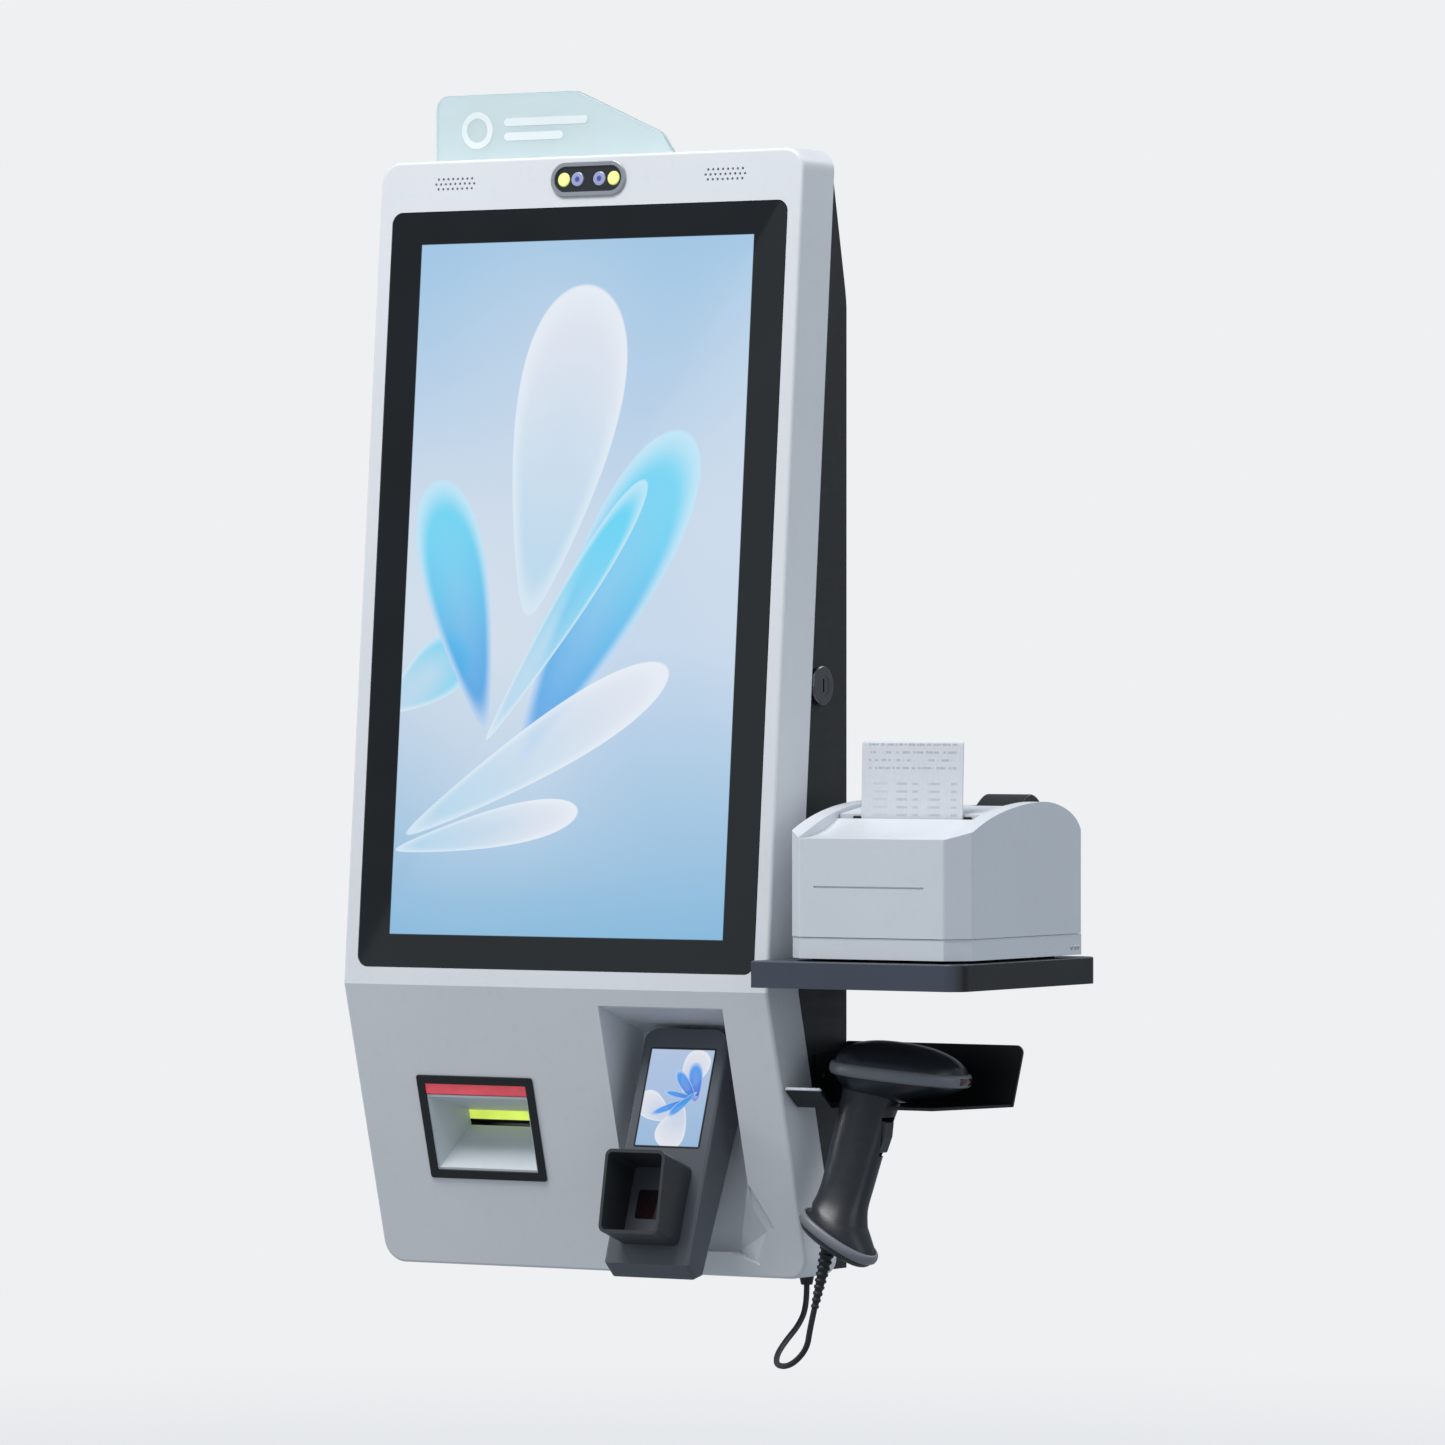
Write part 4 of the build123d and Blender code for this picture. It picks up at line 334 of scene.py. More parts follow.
def screen_look():
    """Cover glass of the main display: black printed border, and a lit abstract picture inside it."""
    look = Look("cover_glass", {"IOR": 1.5})
    across, up = flat_place(look, 0.0, panel_height(SCREEN_UP), UPPER_TILT, SCREEN_HALF_W)
    flat = look.join(across, up)
    tall = SCREEN_HALF_H / SCREEN_HALF_W
    rise = look.remap(up, -tall, tall)
    sweep = look.noise(0.9, 1.0, look.mapped((0.7, 0.35, 1), (0, 0, 0.9), flat))
    picture = look.mix(look.remap(rise, 0.0, 0.42), shade(SKY_LOW, 1), shade(SKY_MID, 1))
    picture = look.mix(look.remap(rise, 0.60, 1.0), picture, shade(SKY_HIGH, 1))
    low_fade = look.remap(rise, 0.05, 0.45, 0.1, 0.75)
    high_fade = look.remap(rise, 0.70, 1.0, 1.0, 0.2)
    glow = look.product(look.remap(sweep, 0.38, 0.66), low_fade, high_fade)
    picture = look.mix(glow, picture, shade(SKY_PALE, 1))
    for at, size, lean, root, tip, solid in (
        ((-0.84, -0.46), (0.30, 0.21), 35, WHITE_ROOT, CYAN_TIP, 0.35),
        ((-0.66, -0.08), (0.66, 0.27), 106, CYAN_ROOT, CYAN_TIP, 0.80),
        ((-0.10, 0.70), (0.86, 0.43), 80, WHITE_ROOT, WHITE_TIP, 0.62),
        ((0.20, -0.06), (0.96, 0.35), 61, CYAN_ROOT, CYAN_TIP, 0.72),
        ((-0.02, -0.12), (0.80, 0.13), 56, WHITE_ROOT, CYAN_TIP, 0.55),
        ((-0.16, -0.84), (0.88, 0.21), 29, WHITE_ROOT, WHITE_TIP, 0.62),
        ((-0.44, -1.24), (0.56, 0.14), 11, WHITE_ROOT, WHITE_TIP, 0.62),
    ):
        picture = petal(look, picture, flat, at, size, lean, root, tip, solid)
    lit = look.product(within(look, across, 1.0, 0.002), within(look, up, tall, 0.002))
    look.set("Emission Color", look.mix(lit, (0, 0, 0, 1), picture))
    look.set("Emission Strength", 0.92)
    uneven = look.remap(look.noise(14.0, 3.0), 0.3, 0.7)
    ink = look.mix(uneven, (0.0045, 0.0055, 0.007, 1), (0.007, 0.008, 0.010, 1))
    look.set("Base Color", look.mix(lit, ink, (0.02, 0.024, 0.03, 1)))
    smears = look.noise(26.0, 5.0, look.mapped((1.0, 1.0, 0.4), (0, 0.6, 0)))
    look.set("Roughness", look.remap(smears, 0.35, 0.75, 0.01, 0.035))
    return look.material


def terminal_screen_look():
    """The payment display's lit picture: pale rounds with a blue spray."""
    look = Look("terminal_display", {"IOR": 1.5})
    across, up = flat_place(look, TERMINAL_X, TERMINAL_SCREEN_Z, TERMINAL_TILT, TERMINAL_SCREEN_HALF_W)
    flat = look.join(across, up)
    picture = look.mix(look.remap(up, -1.3, 1.3), (0.34, 0.52, 0.76, 1), (0.48, 0.60, 0.82, 1))
    pale, lilac = (0.86, 0.86, 0.91), (0.66, 0.72, 0.86)
    for at, size, lean, root, tip, solid in (
        ((-0.55, -0.30), (0.62, 0.50), 150, lilac, pale, 0.7),
        ((0.10, -0.78), (0.60, 0.62), 250, lilac, pale, 0.8),
        ((0.42, 0.72), (0.60, 0.55), 70, lilac, pale, 0.7),
        ((0.55, 0.42), (0.56, 0.30), 103, BLUE_ROOT, BLUE_TIP, 0.8),
        ((0.30, 0.30), (0.58, 0.22), 132, BLUE_ROOT, BLUE_TIP, 0.8),
        ((0.20, 0.06), (0.56, 0.10), 170, BLUE_ROOT, BLUE_TIP, 0.85),
        ((0.02, -0.20), (0.72, 0.13), 201, BLUE_ROOT, BLUE_TIP, 0.85),
        ((0.26, -0.16), (0.50, 0.16), 222, CYAN_ROOT, BLUE_TIP, 0.85),
    ):
        picture = petal(look, picture, flat, at, size, lean, root, tip, solid)
    lit = look.product(within(look, across, 0.955, 0.01), within(look, up, 1.30, 0.01))
    look.set("Emission Color", look.mix(lit, (0, 0, 0, 1), picture))
    look.set("Emission Strength", 0.88)
    look.set("Base Color", look.mix(look.noise(30.0), (0.015, 0.017, 0.02, 1), (0.03, 0.033, 0.04, 1)))
    look.set("Roughness", look.remap(look.noise(60.0, 4.0), 0.3, 0.7, 0.04, 0.12))
    return look.material


def panel_black_look():
    """Rear of the display: dark sheet with ribs pressed into it."""
    look = Look("display_back", {"Metallic": 0.6})
    x, _, z = look.split(look.place)
    rib = look.math("SINE", look.product(z, 420.0))
    look.set("Base Color", look.mix(look.noise(40.0), (0.10, 0.105, 0.11, 1), (0.17, 0.175, 0.18, 1)))
    look.set("Roughness", look.remap(look.noise(70.0), 0.3, 0.7, 0.32, 0.46))
    look.set("Normal", look.bump(look.product(rib, x), 0.3, 0.0004))
    return look.material


# ------------------------ camera, lights and glass
def from_pair(look, apart):
    """Distance from the nearer middle of a pair of round parts in the camera module."""
    x, _, z = look.split(look.place)
    aside = look.math("SUBTRACT", look.math("ABSOLUTE", x), apart)
    return look.distance(aside, look.math("SUBTRACT", z, panel_height(CAMERA_UP)))


def lens_look():
    """Coated camera lens: violet-blue coating rings with a painted highlight in their pale bands, around a
    dark pupil, by distance from each lens's middle.
    """
    look = Look("lens_glass", {"IOR": 1.6, "Coat Weight": 0.8, "Coat Roughness": 0.02})
    far = from_pair(look, LENS_X)
    coating_and_highlight_ramp = look.node("ValToRGB", {0: look.math("DIVIDE", far, LENS_R)})
    # the pale bands among these stops are a painted highlight over the coating's violet-blue
    stops = ((0.0, (0.05, 0.05, 0.14)), (0.28, (0.10, 0.12, 0.42)), (0.50, (0.42, 0.46, 0.82)),
             (0.68, (0.30, 0.34, 0.66)), (0.80, (0.50, 0.52, 0.62)), (0.92, (0.10, 0.11, 0.13)))
    elements = coating_and_highlight_ramp.color_ramp.elements
    while len(elements) < len(stops):
        elements.new(0.5)
    for element, (position, colour) in zip(elements, stops):
        element.position = position
        element.color = (*colour, 1)
    look.set("Base Color", coating_and_highlight_ramp.outputs[0])
    look.set("Roughness", look.remap(look.noise(300.0), 0.3, 0.7, 0.03, 0.09))
    return look.material


def led_look():
    """Yellow fill light: glowing dome, brighter in its middle."""
    look = Look("led_yellow", {"IOR": 1.45, "Coat Weight": 0.4})
    glow = look.remap(from_pair(look, LED_X), 0.0015, 0.0050)
    look.set("Emission Color", look.mix(glow, (0.86, 0.95, 0.30, 1), (0.42, 0.50, 0.08, 1)))
    look.set("Emission Strength", 0.62)
    look.set("Base Color", look.mix(look.noise(900.0), (0.70, 0.80, 0.20, 1), (0.80, 0.88, 0.30, 1)))
    look.set("Roughness", look.remap(look.cells(1400.0), 0.0, 0.6, 0.18, 0.34))
    return look.material


def acrylic_look():
    """Clear sheet with a light blue-green tint and a few hairline marks."""
    look = Look("acrylic", {"IOR": 1.49, "Transmission Weight": 0.45})
    drift = look.remap(look.noise(9.0, 3.0), 0.3, 0.7)
    look.set("Base Color", look.mix(drift, (0.76, 0.90, 0.92, 1), (0.80, 0.93, 0.95, 1)))
    marks = look.noise(60.0, 5.0, look.mapped((1, 1, 8), (0, 0.7, 0)))
    look.set("Roughness", look.remap(marks, 0.35, 0.75, 0.05, 0.16))
    look.set("Normal", look.bump(marks, 0.05, 0.0001))
    return look.material


def smoked_look(name, colour):
    """Dark glossy window with faint dust."""
    look = Look(name, {"IOR": 1.5, "Coat Weight": 0.6, "Coat Roughness": 0.03})
    dust = look.remap(look.noise(420.0, 4.0), 0.60, 0.85, 0.0, 0.25)
    tone = look.mix(look.noise(25.0), shade(colour, 0.8), shade(colour, 1.2))
    look.set("Base Color", look.mix(dust, tone, (0.16, 0.16, 0.17, 1)))
    look.set("Roughness", look.remap(look.noise(90.0, 4.0), 0.3, 0.7, 0.05, 0.15))
    return look.material


def glowing_look(name, colour, strength):
    """Lit diffuser strip, slightly uneven along its length."""
    look = Look(name, {"IOR": 1.46})
    uneven = look.remap(look.noise(70.0, 2.0), 0.3, 0.7)
    look.set("Emission Color", look.mix(uneven, shade(colour, 0.82), shade(colour, 1.08)))
    look.set("Emission Strength", strength)
    look.set("Base Color", look.mix(uneven, shade(colour, 0.8), shade(colour, 1.0)))
    look.set("Roughness", look.remap(look.noise(600.0), 0.3, 0.7, 0.28, 0.42))
    return look.material


# ------------------------ boards, paper, mesh
def board_look():
    """Green circuit board: lighter tracks, tinned pads, uneven lacquer; its raised parts are dark."""
    look = Look("circuit_board", {"IOR": 1.5, "Coat Weight": 0.3})
    tracks = look.remap(look.cells(230.0, "DISTANCE_TO_EDGE"), 0.02, 0.05, 1.0, 0.0)
    pads = look.remap(look.cells(420.0), 0.10, 0.14, 1.0, 0.0)
    tone = look.mix(look.noise(40.0), (0.008, 0.075, 0.030, 1), (0.014, 0.11, 0.045, 1))
    tone = look.mix(tracks, tone, (0.03, 0.19, 0.085, 1))
    tone = look.mix(pads, tone, (0.55, 0.53, 0.42, 1))
    y = look.split(look.place)[1]
    proud = look.remap(y, BOARD_FACE_Y - 0.0004, BOARD_FACE_Y - 0.0002, 1.0, 0.0)
    raised = look.product(proud, look.remap(y, BOARD_FACE_Y - 0.0189, BOARD_FACE_Y - 0.0169))
    look.set("Base Color", look.mix(raised, tone, (0.022, 0.023, 0.026, 1)))
    look.set("Roughness", look.remap(look.noise(150.0), 0.3, 0.7, 0.28, 0.45))
    look.set("Normal", look.bump(look.math("ADD", tracks, pads), 0.3, 0.0001))
    return look.material


def paper_fibre(look):
    """Fine fibres, drawn out along the strip."""
    return look.noise(900.0, 4.0, look.mapped((1, 1, 0.35)))


def paper_look():
    """Thermal paper: off-white with a fine fibre."""
    look = Look("thermal_paper", {"IOR": 1.4})
    fibre = paper_fibre(look)
    look.set("Base Color", look.mix(fibre, (0.70, 0.72, 0.76, 1), (0.86, 0.87, 0.90, 1)))
    look.set("Roughness", look.remap(look.noise(300.0), 0.3, 0.7, 0.62, 0.78))
    look.set("Normal", look.bump(fibre, 0.2, 0.0001))
    return look.material


PRINT_PITCH = 0.0052                   # from one printed line to the next


def receipt_look(middle_x, top_z):
    """Printed receipt: bars in lines at the top, and short columns of bars below them. No letters."""
    look = Look("receipt_print", {"IOR": 1.4})
    x, _, z = look.split(look.place)
    across = look.math("SUBTRACT", x, middle_x)
    down = look.math("SUBTRACT", top_z, z)
    fibre = paper_fibre(look)
    tone = look.mix(fibre, (0.66, 0.685, 0.73, 1), (0.80, 0.815, 0.85, 1))
    rows = look.math("DIVIDE", down, PRINT_PITCH)
    row = look.math("FRACT", rows)
    line = look.product(look.remap(row, 0.22, 0.28), look.remap(row, 0.52, 0.58, 1.0, 0.0))
    place = look.join(look.product(x, 420.0), look.product(look.math("FLOOR", rows), 7.3))
    words = look.remap(look.noise(1.0, 1.0, place), 0.44, 0.50)
    header = look.remap(down, 0.0215, 0.022, 1.0, 0.0)
    column = look.remap(look.noise(1.0, 0.0, look.join(look.product(x, 120.0), 3.0)), 0.47, 0.53)
    table = look.product(look.remap(down, 0.026, 0.027), look.remap(down, 0.052, 0.053, 1.0, 0.0))
    top_ink = look.product(line, words, header)
    ink = look.math("MAXIMUM", top_ink, look.product(column, table, line, 0.75))
    margin = within(look, across, 0.034, 0.001)
    uneven = look.remap(look.noise(1500.0, 2.0), 0.35, 0.6, 0.35, 1.0)
    ink = look.product(ink, margin, uneven, 0.55)
    look.set("Base Color", look.mix(ink, tone, (0.22, 0.24, 0.28, 1)))
    look.set("Roughness", look.remap(look.noise(300.0), 0.3, 0.7, 0.60, 0.76))
    look.set("Normal", look.bump(fibre, 0.15, 0.0001))
    return look.material


def speaker_look():
    """Black woven speaker cloth."""
    look = Look("speaker_cloth")
    x, _, z = look.split(look.place)
    weave = look.product(*(look.math("SINE", look.product(way, 5200.0)) for way in (x, z)))
    thread = look.remap(weave, -1, 1)
    look.set("Base Color", look.mix(thread, (0.006, 0.006, 0.007, 1), (0.030, 0.030, 0.033, 1)))
    look.set("Roughness", look.remap(look.noise(80.0), 0.3, 0.7, 0.70, 0.88))
    look.set("Normal", look.bump(weave, 0.5, 0.0002))
    return look.material


HOLE_PITCH = 0.0062                    # between the supply case's ventilation holes
BEAD_PITCH = 0.085                     # between the beads pressed into the display tray


def perforated_look():
    """Zinc-plated supply case with rows of round ventilation holes, painted as dark dots that stand in for
    the shade inside the holes.
    """
    look = Look("perforated_zinc", {"Metallic": 1.0})
    x, _, z = look.split(look.place)
    squares = []
    for way in (x, z):
        share = look.math("FRACT", look.math("DIVIDE", way, HOLE_PITCH))
        offset = look.math("SUBTRACT", share, 0.5)
        squares.append(look.product(offset, offset))
    # round dark dots in place of the ventilation holes: painted shade inside the holes
    holes = look.remap(look.math("ADD", *squares), 0.085, 0.11, 1.0, 0.0)
    for way, middle, half in ((x, -0.095, 0.043), (z, -0.165, 0.053)):
        holes = look.product(holes, within(look, look.math("SUBTRACT", way, middle), half, 0.001))
    tone = look.mix(look.cells(22.0, output=1), (0.50, 0.51, 0.53, 1), (0.66, 0.67, 0.69, 1))
    look.set("Base Color", look.mix(holes, tone, (0.02, 0.02, 0.02, 1)))
    look.set("Roughness", look.remap(look.noise(60.0, 3.0), 0.3, 0.7, 0.30, 0.50))
    look.set("Normal", look.bump(holes, 0.5, 0.0004))
    return look.material


def tray_look():
    """Galvanised display tray: a spangle, and stiffening beads pressed into its back."""
    look = Look("galvanised_tray", {"Metallic": 1.0})
    x, _, z = look.split(look.place)
    spangle = look.cells(70.0, output=1)
    grey = look.math("ADD", look.product(look.split(spangle)[0], 0.10), 0.50)
    look.set("Base Color", look.join(grey, grey, look.product(grey, 1.03)))
    share = look.math("FRACT", look.math("DIVIDE", z, BEAD_PITCH))
    away = look.math("ABSOLUTE", look.math("SUBTRACT", share, 0.5))
    bead = look.product(look.remap(away, 0.03, 0.07, 1.0, 0.0, smooth=True), within(look, x, 0.12, 0.006))
    look.set("Roughness", look.remap(look.noise(30.0, 4.0), 0.3, 0.7, 0.36, 0.48))
    look.set("Normal", look.bump(bead, 0.8, 0.002))
    return look.material


SHELL = coated("shell_paint", (0.79, 0.805, 0.83), 0.34, drift=0.02, grain=1300.0, relief=0.05)
HOUSING = coated("black_powder", (0.0060, 0.0068, 0.0085), 0.50, drift=0.10, grain=1500.0, relief=0.30)
# the shelf's faces turned to the right are darkened: painted shade
SHELF = powder_with_painted_light("slate_powder", (0.058, 0.070, 0.098), (0.0045, 0.005, 0.006), "side")
# a pale band on the holder's lip top edge: painted highlight
HOLDER = powder_with_painted_light("holder_powder_lip_highlight", (0.0055, 0.006, 0.007), (0.80, 0.82, 0.88), "lip")
BRACKET = coated("bracket_paint", (0.045, 0.048, 0.052), 0.55, drift=0.10, grain=900.0, relief=0.35)
ZINC = brushed("zinc_steel", (0.60, 0.61, 0.63), 0.34)
LOCK = brushed("lock_metal", (0.16, 0.16, 0.17), 0.26, along="X")
RING = coated("camera_ring", (0.46, 0.47, 0.50), 0.30, metallic=0.7, grain=2000.0, relief=0.05)
BEZEL = coated("bezel_black", (0.008, 0.009, 0.010), 0.34, drift=0.12, grain=1500.0, relief=0.12)
CHUTE = coated("chute_white", (0.66, 0.70, 0.74), 0.40, drift=0.03, grain=1400.0, relief=0.08)
RUBBER = coated("roller_rubber", (0.022, 0.022, 0.024), 0.72, drift=0.15, grain=800.0, relief=0.35)
TERMINAL = coated("terminal_grey", (0.092, 0.101, 0.118), 0.36, drift=0.08, grain=1800.0, relief=0.16)
HOOD = coated("hood_black", (0.038, 0.043, 0.046), 0.42, drift=0.08, grain=1800.0, relief=0.16)
PRINTER = coated("printer_plastic", (0.70, 0.73, 0.77), 0.38, drift=0.02, grain=1700.0, relief=0.12)
LEVER = coated("lever_black", (0.012, 0.013, 0.014), 0.32, drift=0.1, grain=1500.0, relief=0.15)
SCANNER = coated("scanner_black", (0.018, 0.021, 0.026), 0.30, drift=0.10, grain=1600.0, relief=0.10)
SCANNER_GREY = coated("scanner_grey", (0.200, 0.210, 0.230), 0.36, drift=0.08, grain=1600.0, relief=0.14)
CORD = coated("cord_black", (0.014, 0.015, 0.017), 0.48, drift=0.10, grain=2200.0, relief=0.22)
CHIP = coated("chip_black", (0.018, 0.018, 0.020), 0.42, drift=0.2, grain=1200.0, relief=0.15)
MODULE = coated("module_grey", (0.11, 0.115, 0.12), 0.45, drift=0.12, grain=900.0, relief=0.25)
FROST = coated("frosted_film", (0.86, 0.92, 0.93), 0.55, drift=0.02, grain=2600.0, relief=0.20)
BOARD = board_look()
PAPER = paper_look()


def paint(material, *names):
    """Gives CAD nodes a material, in every slot that they have."""
    for name in names:
        for place in NODES[name].material_slots:
            place.material = material


paint(SHELL, "front_shell", "terminal_recess")
paint(HOUSING, "rear_housing", "hinge_leaves_fixed", "hinge_leaves_door")
paint(SHELF, "printer_shelf")
paint(HOLDER, "scanner_holder")
paint(BRACKET, "wall_bracket")
paint(ZINC, "bracket_screws", "side_screws", "standoffs", "hinge_pins", "receipt_printer_frame")
paint(ZINC, "terminal_bracket", "lock_strike", "lock_cam", "sign_base")
paint(tray_look(), "lcd_backplate")
paint(LOCK, "lock_barrel", "lock_plug")
paint(perforated_look(), "power_supply")
paint(MODULE, "printer_mechanism")
paint(screen_look(), "screen_glass")
paint(panel_black_look(), "lcd_panel")
paint(RING, "camera_bezel")
paint(smoked_look("camera_window", (0.018, 0.021, 0.026)), "camera_window")
paint(lens_look(), "camera_lenses")
paint(led_look(), "camera_leds")
paint(BOARD, "camera_board", "mainboard")
paint(speaker_look(), "speakers")
paint(acrylic_look(), "sign_panel")
paint(BEZEL, "receipt_bezel", "power_inlet", "cable_gland")
paint(glowing_look("light_red", (0.62, 0.075, 0.10), 0.55), "receipt_light_red")
paint(glowing_look("light_yellow", (0.70, 0.86, 0.12), 0.75), "receipt_light_yellow")
paint(CHUTE, "receipt_chute")
paint(RUBBER, "receipt_platen", "printer_platen", "printer_feet")
paint(PAPER, "receipt_roll", "printer_roll")
paint(TERMINAL, "terminal_body")
paint(HOOD, "terminal_hood")
paint(terminal_screen_look(), "terminal_screen")
paint(smoked_look("scan_glass", (0.016, 0.003, 0.005)), "terminal_scan_window", "scanner_window")
paint(PRINTER, "printer_base", "printer_cover", "printer_lid")
paint(LEVER, "printer_lever")
paint(SCANNER, "scanner_trigger")


# ------------------------ mesh kit
def add_piece(name, mesh, body, material, replaced=(), smooth=True):
    """A new object for a mesh, on its body, with its finish and the CAD nodes that it stands for."""
    made = bpy.data.objects.new(name, mesh)
    bpy.context.scene.collection.objects.link(made)
    mesh.materials.clear()
    mesh.materials.append(material)
    for polygon in mesh.polygons:
        polygon.use_smooth = smooth
    if body:
        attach(made, body)
    if replaced:
        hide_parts(*replaced)
    return made


def mesh_of(name, build):
    """A mesh made by calling build with an empty bmesh, with its faces turned outwards."""
    shape = bmesh.new()
    build(shape)
    bmesh.ops.recalc_face_normals(shape, faces=shape.faces)
    mesh = bpy.data.meshes.new(name)
    shape.to_mesh(mesh)
    shape.free()
    return mesh


def skin(shape, rings, closed=False):
    """Quads between rings of points, and a cap at each end; closed joins the ends instead."""
    rows = [[shape.verts.new(point) for point in ring] for ring in rings]
    count = len(rows[0])
    pairs = list(zip(rows, rows[1:]))
    if closed:
        pairs.append((rows[-1], rows[0]))
    for one, two in pairs:
        for i in range(count):
            j = (i + 1) % count
            shape.faces.new((one[i], one[j], two[j], two[i]))
    if not closed:
        shape.faces.new(rows[0][::-1])
        shape.faces.new(rows[-1])


def oval(centre, along, aside, half_long, half_wide, count=64, power=2.0):
    """Ring of points on a superellipse; power 2 is an ellipse, and more is squarer."""
    points = []
    for i in range(count):
        angle = 2 * pi * i / count
        c, s = cos(angle), sin(angle)
        x = half_long * (abs(c) ** (2 / power)) * (1 if c >= 0 else -1)
        y = half_wide * (abs(s) ** (2 / power)) * (1 if s >= 0 else -1)
        points.append(centre + along * x + aside * y)
    return points


def lathe(shape, start, axis, profile, count=48):
    """A turned body: profile is (way along the axis, radius) from start."""
    axis = axis.normalized()
    along = axis.orthogonal().normalized()
    aside = axis.cross(along)
    skin(shape, [oval(start + axis * way, along, aside, r, r, count) for way, r in profile])


def evaluated(made):
    """The object's mesh with its modifiers applied."""
    graph = bpy.context.evaluated_depsgraph_get()
    return bpy.data.meshes.new_from_object(made.evaluated_get(graph))


# ------------------------ scanner lead
CORD_R = 0.0020
LEAD = [                   # mm, from the scanner's relief round the loop and up into the gland
    (196.2, -94.0, -212.0),
    (193.6, -94.8, -224.0),
    (191.0, -94.5, -238.0),
    (176.0, -90.0, -250.0),
    (157.0, -77.0, -252.0),
    (144.0, -56.0, -247.0),
    (139.0, -36.0, -239.0),
    (139.6, -19.0, -229.0),
    (140.0, -9.3, -217.0),
    (140.0, -9.3, -202.0),
]
lead = [spot(*point) for point in LEAD]
relief_axis = (lead[1] - lead[0]).normalized()
RELIEF_LONG = 0.0440
RELIEF_R_START, RELIEF_R_END = 0.0052, 0.0026
RIBS = 10


def smooth_curve(points):
    """A thin NURBS curve with the points as its control points."""
    data = bpy.data.curves.new("lead", "CURVE")
    data.dimensions = "3D"
    data.resolution_u = 16
    data.bevel_resolution = 5
    spline = data.splines.new("NURBS")
    spline.points.add(len(points) - 1)
    for place, point in zip(spline.points, points):
        place.co = (*point, 1.0)
    spline.order_u = 3
    spline.use_endpoint_u = True
    return bpy.data.objects.new("lead", data)


def make_cord():
    """The lead's tube, and the points along its middle."""
    curve = smooth_curve(lead)
    line = bpy.data.meshes.new_from_object(curve)
    path = [vertex.co.copy() for vertex in line.vertices]
    curve.data.bevel_depth = CORD_R
    tube = bpy.data.meshes.new_from_object(curve)
    cord = add_piece("lead_cord", tube, None, CORD, ("scanner_cord",))
    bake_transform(cord)
    return cord, path


def make_relief():
    """Tapered ribbed sleeve where the lead leaves the scanner's foot."""
    profile = []
    start = lead[0] - relief_axis * RELIEF_LONG
    for rib in range(RIBS):
        for share, swell in ((0.04, 0.0), (0.14, 0.9), (0.50, 0.9), (0.60, 0.0), (0.96, 0.0)):
            way = (rib + share) / RIBS
            radius = RELIEF_R_START + (RELIEF_R_END - RELIEF_R_START) * way
            profile.append((way * RELIEF_LONG, radius - 0.0007 + 0.0011 * swell * (1 - 0.4 * way)))
    profile.append((RELIEF_LONG, CORD_R * 1.05))
    mesh = mesh_of("relief", lambda shape: lathe(shape, start, relief_axis, profile))
    return add_piece("strain_relief", mesh, "scanner", CORD, ("scanner_strain_relief",))


cord_piece, cord_path = make_cord()
relief_piece = make_relief()

# ------------------------ handheld scanner
HEAD_TURN, HEAD_DROP = radians(10.0), radians(5.6)
HEAD_AT = spot(241.5, -57.0, -54.0)
HEAD_HALF_LONG, HEAD_HALF_WIDE = 0.0466, 0.0280
NOSE = Vector((cos(HEAD_TURN) * cos(HEAD_DROP), sin(HEAD_TURN) * cos(HEAD_DROP), -sin(HEAD_DROP)))
HEAD_UP = Vector((cos(HEAD_TURN) * sin(HEAD_DROP), sin(HEAD_TURN) * sin(HEAD_DROP), cos(HEAD_DROP)))
HEAD_ASIDE = HEAD_UP.cross(NOSE)
FOOT_TILT = radians(31.0)
FOOT_AT = spot(214.0, -90.0, -160.0)
FOOT_UP = Vector((sin(FOOT_TILT), 0.0, cos(FOOT_TILT)))
FOOT_ALONG = Vector((cos(FOOT_TILT), 0.0, -sin(FOOT_TILT)))
LEAN_FROM_Z, LEAN_OVER = -112.0, 44.0  # mm: where the grip starts to lean into the foot, and over how far
HEAD_RINGS = [             # mm above the band, half length, half width, shift towards the nose
    (-20.5, 3.0, 2.0, -14.0),
    (-19.5, 15.0, 9.0, -13.0),
    (-15.5, 28.0, 16.5, -7.5),
    (-9.5, 39.5, 23.5, -2.5),
    (-4.0, 46.2, 27.8, 0.0),
    (0.0, 47.0, 28.4, 0.0),
    (4.5, 46.4, 28.0, 0.0),
    (10.0, 43.0, 25.2, -0.5),
    (15.0, 35.5, 20.4, -1.5),
    (18.6, 25.0, 14.0, -3.0),
    (20.4, 13.0, 7.0, -4.0),
    (20.8, 2.0, 1.0, -5.0),
]
GRIP_RINGS = [             # centre in mm, half length and half width
    (228.0, -57.0, -48.0, 30.0, 21.0),
    (226.5, -58.0, -56.0, 26.5, 18.6),
    (223.4, -60.5, -65.0, 22.6, 15.8),
    (219.8, -65.0, -82.0, 20.4, 14.6),
    (216.4, -71.0, -104.0, 19.4, 14.2),
    (213.6, -78.0, -126.0, 18.0, 13.6),
    (212.0, -83.0, -139.0, 18.2, 13.8),
    (212.0, -86.5, -148.0, 20.8, 15.2),
]
TRIGGER_Y = -68.0
POCKET = [(228.0, -83.0), (250.0, -83.0), (250.0, -109.0), (222.0, -109.0)]   # mm, x and z
POCKET_HALF_W = 6.0


